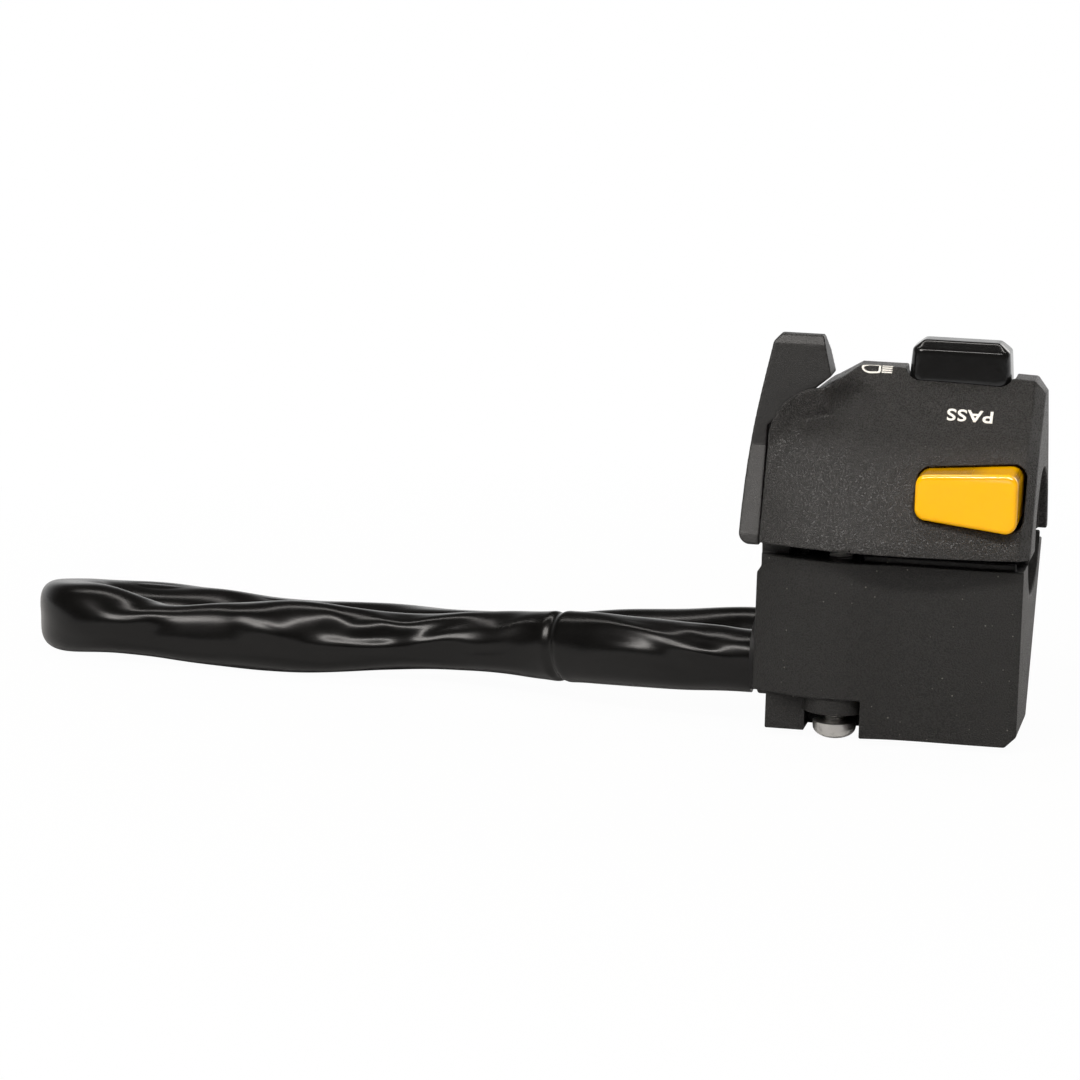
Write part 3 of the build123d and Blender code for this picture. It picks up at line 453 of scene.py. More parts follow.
def refine_hollow(work):
    """Halves the long edges of the forward faces round the hollow, up to seven times or down to 0.7 mm."""
    most_rounds, near_share = 7, 1.1
    for _ in range(most_rounds):
        centres = np.array([face.calc_center_median() for face in work.faces])
        spans = np.array([max(edge.calc_length() for edge in face.edges) for face in work.faces])
        forward = np.array([face.normal.y for face in work.faces]) < -HOLLOW_FACING
        near = hollow_share(centres[:, [0, 2]]) < near_share + spans / HOLLOW_SPAN
        long = []
        for edge in work.edges:
            edge.tag = False
        for face, split in zip(list(work.faces), forward & near & (centres[:, 1] < HOLLOW_FRONT_Y)):
            for edge in face.edges:
                if split and not edge.tag and edge.calc_length() > HOLLOW_CELL:
                    edge.tag = True
                    long.append(edge)
        bmesh.ops.subdivide_edges(work, edges=long, cuts=1)
        triangulate_wide(work)


def hollowed(points, normals):
    """Points of the upper housing's front, moved inward by 1.5 mm * (1 - share ** 2) ** 2."""
    depth = HOLLOW_DEPTH * held(1.0 - hollow_share(points[:, [0, 2]]) ** 2) ** 2
    forward = held((-normals[:, 1] - HOLLOW_FACING) / HOLLOW_FADE)
    forward *= points[:, 1] < HOLLOW_FRONT_Y
    return points + (depth * forward)[:, None] * HOLLOW_INWARD


def welded_copy(node):
    """Mesh of a node with its doubles merged and its flat faces joined, and the hollow cut in its node."""
    work = welded(frame["nodes"][node].data, gap=2e-7)
    bmesh.ops.dissolve_limit(
        work, angle_limit=radians(0.3), verts=work.verts, edges=work.edges, delimit={"NORMAL"}
    )
    triangulate_wide(work)
    hollow = node == "upper_housing"
    if hollow:
        refine_hollow(work)
    work.normal_update()
    normals = np.array([vertex.normal for vertex in work.verts])
    points, faces = taken_apart(work)
    if hollow:
        points = hollowed(points, normals)
    return plain_mesh(node + "_dressed", points, faces)


def dressed_node(node, name, material, edge):
    """Copy of a node that replaces it, with its edges of more than 38 degrees rounded by a radius."""
    angle = 38.0
    piece = finish_piece(name, welded_copy(node), (material,), body_of(node), smooth=angle)
    if edge:
        bevel = piece.modifiers.new("rounded edges", "BEVEL")
        bevel.width = edge
        bevel.segments = 2
        bevel.limit_method = "ANGLE"
        bevel.angle_limit = radians(angle)
        bevel.use_clamp_overlap = False
        bevel.miter_outer = "MITER_ARC"
    weighted = piece.modifiers.new("flat faces", "WEIGHTED_NORMAL")
    weighted.keep_sharp = True
    weighted.weight = 60
    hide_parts(node)
    return piece


def rounded_node(node, name, material, cell, passes):
    """Copy of a node rebuilt on a grid of fine cells, in metres, and smoothed in passes to moulded radii."""
    piece = finish_piece(name, welded_copy(node), (material,), body_of(node), smooth=0)
    grid = piece.modifiers.new("fine grid", "REMESH")
    grid.mode = "VOXEL"
    grid.voxel_size = cell
    grid.use_smooth_shade = True
    relax = piece.modifiers.new("moulded radius", "SMOOTH")
    relax.factor = 0.5
    relax.iterations = passes
    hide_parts(node)
    return piece


def paint_node(node, material):
    """Gives a node that keeps its own mesh a finish."""
    mesh_object = frame["nodes"][node]
    if not mesh_object.material_slots:
        mesh_object.data.materials.append(None)
    for place in mesh_object.material_slots:
        place.link = "OBJECT"
        place.material = material


def length_setting(name, description, default, low, high):
    """Property for a length in metres."""
    return bpy.props.FloatProperty(
        name=name, description=description, default=default, min=low, max=high, precision=5, unit="LENGTH"
    )


def colour_setting(name, description, default):
    """Property for a colour."""
    return bpy.props.FloatVectorProperty(
        name=name, description=description, default=default, min=0.0, max=1.0, subtype="COLOR"
    )


class ClusterSizes(bpy.types.PropertyGroup):
    """Sizes of the dressed pieces."""

    edge_radius: length_setting("Moulding edge", "Rounding of the moulded edges", 0.00028, 0.00005, 0.001)
    sleeve_diameter: length_setting(
        "Sleeve diameter", "Outside diameter of the harness sleeve", 0.012, 0.008, 0.016
    )
    fold_depth: bpy.props.FloatProperty(
        name="Fold depth", description="Scale of the folds in the harness sleeve", default=1.0,
        min=0.0, max=1.6,
    )
    letter_height: length_setting("Letter height", "Height of the printed letters", 0.00284, 0.0015, 0.004)
    word_width: length_setting("Word width", "Width of the printed word", 0.0089, 0.005, 0.012)
    thread_pitch: length_setting("Thread pitch", "Pitch of the case screws' thread", 0.0008, 0.0004, 0.0015)


class ClusterColours(bpy.types.PropertyGroup):
    """Colours of the finishes."""

    upper_shell: colour_setting("Upper housing", "Colour of the upper moulding", (0.0262, 0.0252, 0.0242))
    lower_shell: colour_setting("Lower housing", "Colour of the lower moulding", (0.0158, 0.0154, 0.0149))
    lever: colour_setting("Choke lever", "Colour of the choke lever", (0.0135, 0.0131, 0.0127))
    trigger: colour_setting("Pass trigger", "Colour of the pass trigger", (1.0, 0.49, 0.0))
    rocker: colour_setting(
        "Gloss black", "Colour of the dimmer rocker and horn button", (0.006, 0.006, 0.006)
    )
    sleeve: colour_setting("Sleeve", "Colour of the harness sleeve", (0.0014, 0.0013, 0.0012))
    ink: colour_setting("Print", "Colour of the printed marks", (0.86, 0.84, 0.78))


class ClusterStage(bpy.types.PropertyGroup):
    """Light and camera."""

    lens: bpy.props.FloatProperty(
        name="Lens", description="Focal length on a 36 mm sensor", default=168.05, min=50.0, max=300.0
    )
    light_power: bpy.props.FloatProperty(
        name="Light", description="Scale of the studio lamps", default=1.0, min=0.1, max=4.0
    )


def sizes():
    """Size settings of the scene."""
    return bpy.context.scene.switch_cluster_sizes


def colours():
    """Colour settings of the scene."""
    return bpy.context.scene.switch_cluster_colours


class CLUSTER_OT_upper_housing(bpy.types.Operator):
    """Moulded upper housing with rounded edges and its grained finish, whose light grain cells are partly
    painted sparkle
    """

    bl_idname = "cluster.upper_housing"
    bl_label = "Upper Housing"

    def execute(self, context):
        material = moulded_finish(
            "upper moulding", colour(colours().upper_shell), grain_scale=3400.0, grain_and_sparkle_share=0.78,
            grain_depth=0.00018, roughness=0.33, speck_share=0.14, relief=edge_rounding,
        )
        dressed_node(
            "upper_housing", "upper_housing_moulding", material, sizes().edge_radius
        )
        return {"FINISHED"}


class CLUSTER_OT_lower_housing(bpy.types.Operator):
    """Moulded lower housing with rounded edges and its smoother finish"""

    bl_idname = "cluster.lower_housing"
    bl_label = "Lower Housing"

    def execute(self, context):
        material = moulded_finish(
            "lower moulding", colour(colours().lower_shell), grain_scale=3400.0, grain_and_sparkle_share=0.35,
            grain_depth=0.00006, roughness=0.38, speck_share=0.55,
        )
        dressed_node(
            "lower_housing", "lower_housing_moulding", material, sizes().edge_radius
        )
        return {"FINISHED"}


class CLUSTER_OT_choke_lever(bpy.types.Operator):
    """Choke lever with softened edges"""

    bl_idname = "cluster.choke_lever"
    bl_label = "Choke Lever"

    def execute(self, context):
        material = moulded_finish(
            "lever moulding", colour(colours().lever), grain_scale=4200.0, grain_and_sparkle_share=0.16,
            grain_depth=0.000015, roughness=0.38, speck_share=0.03, relief=skirt_slope,
        )
        rounded_node(
            "choke_lever", "choke_lever_moulding", material, cell=0.00024, passes=5
        )
        return {"FINISHED"}


class CLUSTER_OT_front_controls(bpy.types.Operator):
    """Pass trigger and dimmer rocker"""

    bl_idname = "cluster.front_controls"
    bl_label = "Pass Trigger and Dimmer"

    def execute(self, context):
        trigger = gloss_finish(
            "trigger moulding", colour(colours().trigger), roughness=0.13, ripple=0.00001, coat=0.05,
            edge=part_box("pass_trigger")[1].z,
        )
        rounded_node(
            "pass_trigger", "pass_trigger_cap", trigger, cell=0.00018, passes=8
        )
        rocker = gloss_finish(
            "rocker moulding", colour(colours().rocker), roughness=0.15, ripple=0.00003, coat=0.3
        )
        rounded_node(
            "dimmer_rocker", "dimmer_rocker_cap", rocker, cell=0.0002, passes=30
        )
        return {"FINISHED"}


class CLUSTER_OT_rider_controls(bpy.types.Operator):
    """Turn-signal slider and horn button on the rider's face"""

    bl_idname = "cluster.rider_controls"
    bl_label = "Turn Signal and Horn"

    def execute(self, context):
        slider = moulded_finish(
            "slider moulding", (0.014, 0.014, 0.0135, 1.0), grain_scale=4200.0, grain_and_sparkle_share=0.16,
            grain_depth=0.000012, roughness=0.38, speck_share=0.03,
        )
        for node in ("turn_slide_plate", "turn_signal_knob"):
            dressed_node(node, node + "_cap", slider, edge=0.0002)
        horn = gloss_finish(
            "horn moulding", colour(colours().rocker), roughness=0.2, ripple=0.00002, coat=0.6
        )
        dressed_node("horn_button", "horn_button_cap", horn, edge=0.0002)
        return {"FINISHED"}


# Case screws, in metres: head, shank, and the recess with its crossed slots and its deeper centre,
# each with the width over which its wall slopes
SCREW_HEAD_RADIUS = 4.25 * MM
SCREW_HEAD_HEIGHT = 3.6 * MM
SCREW_RADIUS = 2.4 * MM
SLOT_HALF, SLOT_REACH, SLOT_DEPTH = 0.00042, 0.0021, 0.0013
SLOT_SIDE_SLOPE, SLOT_END_SLOPE = 0.00016, 0.0004
CENTRE_RADIUS, CENTRE_DEPTH, CENTRE_SLOPE = 0.0008, 0.0016, 0.0003


def rings(radius, height, turn):
    """Grid of points round Z, a row for each radius and height and a column for each turn."""
    return np.stack(np.broadcast_arrays(radius * np.cos(turn), radius * np.sin(turn), height), axis=2)


def screw_mesh(x, y, seat, top, pitch):
    """Screw along Z: a domed head with a crossed recess, and a shank with a helical thread.

    Head: radius = head radius * sin(a), and height = rim + dome * cos(a) ** 0.75, less the recess, which
    is deep where the point lies in one of two crossed slots or near the centre. Thread: radius = shank
    radius * (0.86 + 0.14 * |2 * frac(z / pitch - t / tau) - 1|), t the turn.
    """
    segments, head_rows, rows_per_pitch, least_rows = 72, 40, 8, 12
    rim_share, lip_share, under_share, thread_share = 0.22, 0.06, 0.93, 0.14
    turn = np.linspace(0.0, tau, segments, endpoint=False)[None, :]
    angle = np.linspace(0.0, 1.0, head_rows)[:, None] * radians(90.0)
    inner = SCREW_HEAD_RADIUS * np.sin(angle)
    drop = SCREW_HEAD_HEIGHT * (rim_share + (1.0 - rim_share) * np.cos(angle) ** 0.75)
    across = np.minimum(np.abs(inner * np.sin(turn)), np.abs(inner * np.cos(turn)))
    reach = held((SLOT_REACH - inner) / SLOT_END_SLOPE)
    recess = held((SLOT_HALF - across) / SLOT_SIDE_SLOPE) * reach * SLOT_DEPTH
    centre = CENTRE_DEPTH * held((CENTRE_RADIUS - inner) / CENTRE_SLOPE)
    head = rings(inner, seat - drop + np.maximum(recess, centre), turn)
    side_radius = SCREW_HEAD_RADIUS * np.array([1.0, 1.0, under_share])[:, None]
    side_z = seat - SCREW_HEAD_HEIGHT * np.array([rim_share, lip_share, 0.0])[:, None]
    side = rings(side_radius, side_z, turn)
    along = np.linspace(seat, top, max(least_rows, int((top - seat) / pitch * rows_per_pitch)))[:, None]
    wave = np.abs(2.0 * np.mod(along / pitch - turn / tau, 1.0) - 1.0)
    thread = rings(SCREW_RADIUS * (1.0 - thread_share + thread_share * wave), along, turn)
    rows = np.concatenate([head, side, thread, rings(0.0, top, turn)], axis=0)
    return rows.reshape(-1, 3) + np.array([x, y, 0.0]), grid_faces(len(rows), segments)


class CLUSTER_OT_case_screws(bpy.types.Operator):
    """Case screws with domed heads, crossed recesses and threads"""

    bl_idname = "cluster.case_screws"
    bl_label = "Case Screws"

    def execute(self, context):
        low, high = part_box("case_screws")
        steel = metal_finish("screw steel", (0.66, 0.65, 0.63, 1.0), roughness=0.34, grain=0.000014)
        rear_seat, front_top, rear_top = -12.1 * MM, 7.5 * MM, 6.0 * MM
        pitch = sizes().thread_pitch
        front = screw_mesh(
            low.x + SCREW_HEAD_RADIUS, low.y + SCREW_HEAD_RADIUS, low.z + SCREW_HEAD_HEIGHT, front_top, pitch
        )
        rear = screw_mesh(
            high.x - SCREW_HEAD_RADIUS, high.y - SCREW_HEAD_RADIUS, rear_seat, rear_top, pitch
        )
        points = np.concatenate([front[0], rear[0]])
        faces = np.concatenate([front[1], rear[1] + len(front[0])])
        mesh = plain_mesh("case_screws_turned", points, faces.tolist())
        work = welded(mesh, gap=1e-6)
        bmesh.ops.recalc_face_normals(work, faces=work.faces)
        work.to_mesh(mesh)
        work.free()
        piece = finish_piece(
            "case_screws_turned", mesh, (steel,), "housing", smooth=40.0
        )
        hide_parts("case_screws")
        return {"FINISHED"}


def mesh_of(curve):
    """Mesh of a curve, which is then removed."""
    holder = linked(curve.name, curve)
    bpy.context.view_layer.update()
    mesh = bpy.data.meshes.new_from_object(holder)
    bpy.data.objects.remove(holder)
    bpy.data.curves.remove(curve)
    return mesh


def route_line():
    """Centre line of the sleeve: points of a NURBS spline with the route as its control points."""
    curve = bpy.data.curves.new("sleeve_route", "CURVE")
    curve.dimensions = "3D"
    spline = curve.splines.new("NURBS")
    spline.points.add(len(SLEEVE_ROUTE) - 1)
    for point, place in zip(spline.points, SLEEVE_ROUTE):
        point.co = (*place, 1.0)
    spline.order_u = 3
    spline.use_endpoint_u = True
    spline.resolution_u = 40
    mesh = mesh_of(curve)
    line = np.empty(len(mesh.vertices) * 3)
    mesh.vertices.foreach_get("co", line)
    bpy.data.meshes.remove(mesh)
    return line.reshape(-1, 3)


def even_line(line, count):
    """The same line at evenly spaced points, with the distance along it."""
    steps = np.linalg.norm(np.diff(line, axis=0), axis=1)
    keep = np.concatenate([[True], steps > 1e-9])
    line = line[keep]
    along = np.concatenate([[0.0], np.cumsum(np.linalg.norm(np.diff(line, axis=0), axis=1))])
    even = np.linspace(0.0, along[-1], count)
    return np.stack([np.interp(even, along, line[:, axis]) for axis in range(3)], axis=1), even


# Sleeve section along the near strand: X in mm, reach above and below the centre line in mm
SECTION_REACH = np.array((
    (-27.4, 4.6, 7.7), (-37.0, 4.8, 7.8), (-41.1, 5.2, 7.8), (-45.2, 5.8, 7.7), (-49.3, 6.4, 7.5),
    (-53.4, 7.2, 7.2), (-57.8, 7.9, 6.9), (-66.4, 7.9, 5.8), (-75.4, 7.8, 5.2), (-83.9, 7.3, 4.7),
    (-92.4, 7.0, 4.5), (-100.5, 6.8, 4.6), (-108.8, 7.0, 5.2), (-116.5, 8.3, 5.9), (-124.7, 9.2, 6.6),
    (-133.4, 7.2, 6.6), (-141.9, 6.0, 5.9), (-150.1, 4.7, 5.1), (-154.4, 6.2, 5.1), (-158.8, 7.9, 5.1),
    (-163.2, 8.5, 5.5), (-168.0, 8.4, 6.2), (-173.0, 7.0, 7.0),
))

# The same along the far strand: X in mm and reach above the centre line in mm
FAR_REACH = np.array((
    (-175.0, 6.2), (-170.0, 5.2), (-165.0, 4.5), (-130.0, 4.4), (-122.0, 4.9), (-113.0, 4.4),
    (-92.0, 4.5), (-80.0, 5.0), (-70.0, 5.9), (-60.0, 6.6), (-48.0, 7.2), (-30.0, 7.0), (-18.0, 6.0),
))

# Folds of the sleeve on the near strand: (X mm, height share) points, rise mm and half width mm.
# The height share is 1 at the top edge of the visible side and -1 at its bottom edge, HALF_HEIGHT mm
# above and below its middle, as seen from LEAN above. Every rise is scaled, the crest and the trough
# beside it are so many half widths wide, and the trough is a share of the rise deep.
HALF_HEIGHT, LEAN = 6.5, radians(11.0)
RISE_SCALE, CREST_WIDTHS, TROUGH_WIDTHS, TROUGH_SHARE = 1.3, 1.2, 2.6, 0.45
FOLDS = (
    (((-61.1, 0.72), (-58.3, 0.79), (-52.6, 0.73), (-47.2, 0.59), (-43.0, 0.23), (-39.5, 0.0),
      (-33.3, -0.18), (-29.9, -0.28)), 0.85, 1.0),
    (((-47.2, 0.75), (-44.5, 0.63), (-40.7, 0.37), (-36.5, -0.01), (-31.9, -0.08)), 0.7, 0.9),
    (((-41.5, 0.89), (-38.7, 0.64), (-36.5, 0.19)), 0.8, 1.3),
    (((-30.4, 0.52), (-28.4, 0.34), (-27.4, 0.15)), 0.7, 1.2),
    (((-102.0, 0.66), (-98.0, 0.62), (-94.1, 0.74), (-87.1, 0.9), (-80.8, 0.95)), 0.7, 1.0),
    (((-87.7, 0.73), (-81.4, 0.74), (-77.5, 0.86)), 0.5, 1.1),
    (((-101.6, 0.07), (-95.9, 0.21), (-89.7, 0.44), (-83.9, 0.46), (-79.0, 0.47), (-74.5, 0.65),
      (-68.6, 0.86)), 0.9, 1.1),
    (((-101.6, -0.16), (-95.9, 0.04), (-89.7, 0.18), (-83.3, 0.16), (-78.1, 0.21), (-74.2, 0.37),
      (-70.9, 0.45)), 0.8, 1.1),
    (((-122.5, 0.07), (-119.9, -0.03), (-113.2, -0.08), (-106.9, -0.09), (-102.0, -0.03),
      (-97.6, 0.03)), 1.0, 1.3),
    (((-113.6, 0.4), (-107.7, 0.51), (-102.0, 0.57), (-95.5, 0.48)), 0.8, 1.2),
    (((-108.8, 0.91), (-105.4, 0.73), (-102.0, 0.63)), 0.7, 1.1),
    (((-136.1, 0.52), (-132.0, 0.64), (-127.4, 0.62), (-124.7, 0.63)), 0.9, 2.0),
    (((-132.5, 0.13), (-127.9, 0.23), (-123.8, 0.09), (-121.6, 0.01)), 0.8, 1.7),
    (((-117.4, 0.89), (-114.9, 0.74), (-112.8, 0.63)), 0.7, 1.3),
    (((-165.2, 0.33), (-160.1, 0.24), (-155.1, 0.33), (-151.7, 0.57), (-149.3, 0.88)), 0.8, 1.8),
    (((-158.5, 0.28), (-153.0, 0.58), (-147.0, 0.80), (-140.0, 0.82), (-134.0, 0.68),
      (-129.0, 0.60)), 0.9, 2.3),
    (((-171.0, -0.62), (-166.6, -0.70), (-157.7, -0.54), (-152.0, -0.25)), -0.5, 1.8),
    (((-58.9, 0.27), (-50.5, -0.07), (-44.5, -0.27), (-38.2, -0.44)), 0.35, 2.6),
    (((-87.1, -0.31), (-80.8, -0.44), (-74.2, -0.17)), 0.35, 2.4),
)

# Least and greatest radius of the sleeve, in mm
LEAST_RADIUS, GREATEST_RADIUS = 4.35, 9.6

# Ring where the sleeve is drawn in: its X, the depth and width of its waist and the height and width of
# the swell beside it, in mm
RING_X, WAIST_DEPTH, WAIST_WIDTH, SWELL_HEIGHT, SWELL_WIDTH = -66.4, 0.6, 0.9, 0.2, 2.6

# Lengths in mm of the sleeve's plain ends and of its turn at the far left, where the section is squarer
# and the near strand's fades into the far strand's from a little before the middle of the turn
END_LENGTH, TURN_LENGTH, BEFORE_TURN = 6.0, 12.0, 4.0


def eased(share):
    """Share from 0 to 1 with a level start and end."""
    return share * share * (3 - 2 * share)


def softened(points):
    """The polyline with its corners cut three times, each cut at a quarter of a run."""
    points = np.asarray(points, float)
    for _ in range(3):
        first, second = points[:-1], points[1:]
        cuts = np.stack([0.75 * first + 0.25 * second, 0.25 * first + 0.75 * second], axis=1).reshape(-1, 2)
        points = np.concatenate([points[:1], cuts, points[-1:]])
    return points


def polyline_distance(x, v, points):
    """Distance in mm from each surface point to a polyline, with the share along it."""
    best = np.full(x.shape, 1e9)
    share = np.zeros(x.shape)
    points = np.asarray(points, float)
    lengths = np.linalg.norm(np.diff(points, axis=0), axis=1)
    start = np.concatenate([[0.0], np.cumsum(lengths)]) / lengths.sum()
    for index in range(len(points) - 1):
        first, second = points[index], points[index + 1]
        run = second - first
        t = held(((x - first[0]) * run[0] + (v - first[1]) * run[1]) / (run @ run))
        away = np.hypot(x - first[0] - t * run[0], v - first[1] - t * run[1])
        closer = away < best
        best = np.where(closer, away, best)
        share = np.where(closer, start[index] + t * (start[index + 1] - start[index]), share)
    return best, share


def blurred(values):
    """Grid of values averaged over a few rows and columns; the columns run round."""
    for shift_max, axis, mode in ((8, 0, "edge"), (5, 1, "wrap")):
        weights = np.hanning(2 * shift_max + 3)[1:-1]
        weights /= weights.sum()
        widths = [(shift_max, shift_max) if side == axis else (0, 0) for side in (0, 1)]
        padded = np.pad(values, widths, mode=mode)
        length = values.shape[axis]
        values = sum(
            weight * np.take(padded, range(start, start + length), axis=axis)
            for start, weight in enumerate(weights)
        )
    return values


def section_sizes(line, along, base):
    """Reach up, reach down and half width of the sleeve at each row, in mm, averaged along the sleeve.

    The near strand reads SECTION_REACH at its X and the far strand FAR_REACH, with a fade between them at
    the turn. The half width waves by 0.25 mm along the near strand and is 0.5 mm more on the far one.
    """
    far_low_less, far_width_more, wave_height, wave_rate, rows_averaged = 0.2, 0.5, 0.25, 130.0, 47
    x = line[:, 0] / MM
    turned = np.argmin(x)
    fade = held((along - along[turned] + BEFORE_TURN * MM) / (TURN_LENGTH * MM))
    near = SECTION_REACH[np.argsort(SECTION_REACH[:, 0])]
    top = np.interp(x, near[:, 0], near[:, 1]) * (1 - fade)
    top += np.interp(x, FAR_REACH[:, 0], FAR_REACH[:, 1]) * fade
    low = np.interp(x, near[:, 0], near[:, 2]) * (1 - fade) + (base - far_low_less) * fade
    width = base + wave_height * np.sin(along * wave_rate) * (1 - fade) + far_width_more * fade
    kernel = np.hanning(rows_averaged)
    kernel /= kernel.sum()
    margin = rows_averaged // 2
    return [
        np.convolve(np.pad(part, margin, mode="edge"), kernel, mode="valid")[:, None]
        for part in (top, low, width)
    ]


def fold_relief(place_x, place_v):
    """Rise in mm of the folds at places in X and height on the visible side, in mm.

    Each fold adds rise * (exp(-(distance / crest) ** 2) - 0.45 * exp(-(distance / trough) ** 2)), so it
    has a shallow hollow beside it, and tapers over 0.3 of its length at both ends.
    """
    taper_share = 0.3
    relief = np.zeros_like(place_x)
    for points, rise, half_width in FOLDS:
        scaled = softened([(x, share * HALF_HEIGHT) for x, share in points])
        distance, share = polyline_distance(place_x, place_v, scaled)
        taper = eased(held(np.minimum(share, 1 - share) / taper_share))
        crest = bell(distance / (CREST_WIDTHS * half_width))
        trough = bell(distance / (TROUGH_WIDTHS * half_width))
        relief += RISE_SCALE * rise * taper * (crest - TROUGH_SHARE * trough)
    return relief


def sleeve_surface(line, along, columns, diameter, fold_depth):
    """Sleeve round its line: radius(s, t) = section(s, t) + folds(s, t) + slack(s, t) + ring(s).

    The section reaches up and down by section_sizes and is an ellipse between them, squarer at the
    turn: (|cos t| / reach) ** power + (|sin t| / width) ** power = radius ** -power. The folds lie on the
    visible side of the near strand. The slack is 0.22 * sin(s / 9.1 + 2.2 * sin(t + s / 31)) + 0.16 *
    sin(s / 4.3 - 3 * t) + 0.10 * sin(2 * t + s / 6), weaker there. The ring is a waist with a swell.
    """
    round_power, squarer = 2.0, 1.6
    front_from, front_fade, slack_less = -0.25, 0.4, 0.35
    tangent = np.gradient(line, axis=0)
    tangent /= np.linalg.norm(tangent, axis=1)[:, None]
    side = np.cross(tangent, np.array([0.0, 0.0, 1.0]))
    side /= np.linalg.norm(side, axis=1)[:, None]
    rise = np.cross(side, tangent)
    turn = np.linspace(0.0, tau, columns, endpoint=False)[None, :]
    turned = np.argmin(line[:, 0])
    near = (np.arange(len(line)) < turned)[:, None]
    top, low, width = section_sizes(line, along, diameter / 2 / MM)
    vertical = np.where(np.cos(turn) > 0, top, low)
    from_turn = (along - along[turned]) / (TURN_LENGTH * MM)
    power = round_power + squarer * bell(from_turn)[:, None]
    inverse = np.abs(np.cos(turn) / vertical) ** power + np.abs(np.sin(turn) / width) ** power
    radius = inverse ** (-1.0 / power)
    upward = eased(held(0.5 + 0.8 * np.cos(turn + LEAN)))
    place_x = (line[:, 0] / MM)[:, None] + 0 * turn
    place_v = np.cos(turn + LEAN) * radius / (low + (top - low) * upward) * HALF_HEIGHT
    front = held((np.sin(turn) - front_from) / front_fade) * near
    relief = blurred(fold_relief(place_x, place_v) * front)
    s = (along / MM)[:, None]
    slack = 0.22 * np.sin(s / 9.1 + 2.2 * np.sin(turn + s / 31.0)) + 0.16 * np.sin(s / 4.3 - 3.0 * turn)
    slack += 0.10 * np.sin(2.0 * turn + s / 6.0)
    slack *= 1.0 - slack_less * front
    waist = WAIST_DEPTH * bell((place_x - RING_X) / WAIST_WIDTH) * near
    swell = SWELL_HEIGHT * bell((place_x - RING_X) / SWELL_WIDTH) * near
    ends = held(np.minimum(along, along[-1] - along) / (END_LENGTH * MM))[:, None]
    radius = radius + (relief * fold_depth + slack) * ends - waist + swell
    radius = np.clip(radius, LEAST_RADIUS, GREATEST_RADIUS) * MM
    points = line[:, None, :] + radius[..., None] * (
        np.cos(turn)[..., None] * rise[:, None, :] - np.sin(turn)[..., None] * side[:, None, :]
    )
    points[..., 2] = np.maximum(points[..., 2], FLOOR_Z)
    points[..., 0] = np.maximum(points[..., 0], cad_box[0][0])
    return points


def declare_cord():
    path_points = 180
    line, _ = even_line(route_line(), path_points)


class CLUSTER_OT_harness_sleeve(bpy.types.Operator):
    """Wrinkled harness sleeve along its route"""

    bl_idname = "cluster.harness_sleeve"
    bl_label = "Harness Sleeve"

    def execute(self, context):
        rows, columns = 740, 128
        line, along = even_line(route_line(), rows)
        grid = sleeve_surface(line, along, columns, sizes().sleeve_diameter, sizes().fold_depth)
        points = np.concatenate([grid.reshape(-1, 3), grid[[0, -1]].mean(axis=1)])
        column = np.arange(columns)
        following = (column + 1) % columns
        last_row, centre = (rows - 1) * columns, rows * columns
        cap_start = np.stack([column, following, np.full(columns, centre)], axis=1)
        cap_end = np.stack([last_row + following, last_row + column, np.full(columns, centre + 1)], axis=1)
        faces = grid_faces(rows, columns)[:, ::-1].tolist() + cap_start.tolist() + cap_end.tolist()
        sleeving = sleeve_finish("sleeving", colour(colours().sleeve))
        piece = new_piece(
            "harness_sleeve_wrinkled", points, faces, (sleeving,), "housing",
            smooth=60.0,
        )
        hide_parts("harness_sleeve")
        return {"FINISHED"}


# Cover of each wire in the bundle: six round the middle one, which comes last
WIRE_COVERS = (0, 1, 0, 2, 0, 1, 0)


def wire_mesh(low, high, radius):
    """Seven straight wires packed in a hexagon along X, each a closed tube of one radius."""
    segments, rows = 20, 8
    centre_y, centre_z = (low.y + high.y) / 2, (low.z + high.z) / 2
    turn = np.linspace(0.0, tau, segments, endpoint=False)
    stations = np.linspace(low.x, high.x, rows)
    points, faces = [], []
    for index in range(len(WIRE_COVERS)):
        angle = radians(60.0) * index
        away = 0.0 if index == len(WIRE_COVERS) - 1 else 2.0 * radius
        ring = np.stack([
            0 * turn,
            centre_y + away * cos(angle) + radius * np.cos(turn),
            centre_z + away * sin(angle) + radius * np.sin(turn),
        ], axis=1)
        first = len(points)
        for station in stations:
            points += (ring + (station, 0.0, 0.0)).tolist()
        faces += (grid_faces(rows, segments)[:, ::-1] + first).tolist()
        last = first + (rows - 1) * segments
        faces.append([first + step for step in reversed(range(segments))])
        faces.append([last + step for step in range(segments)])
    return points, faces


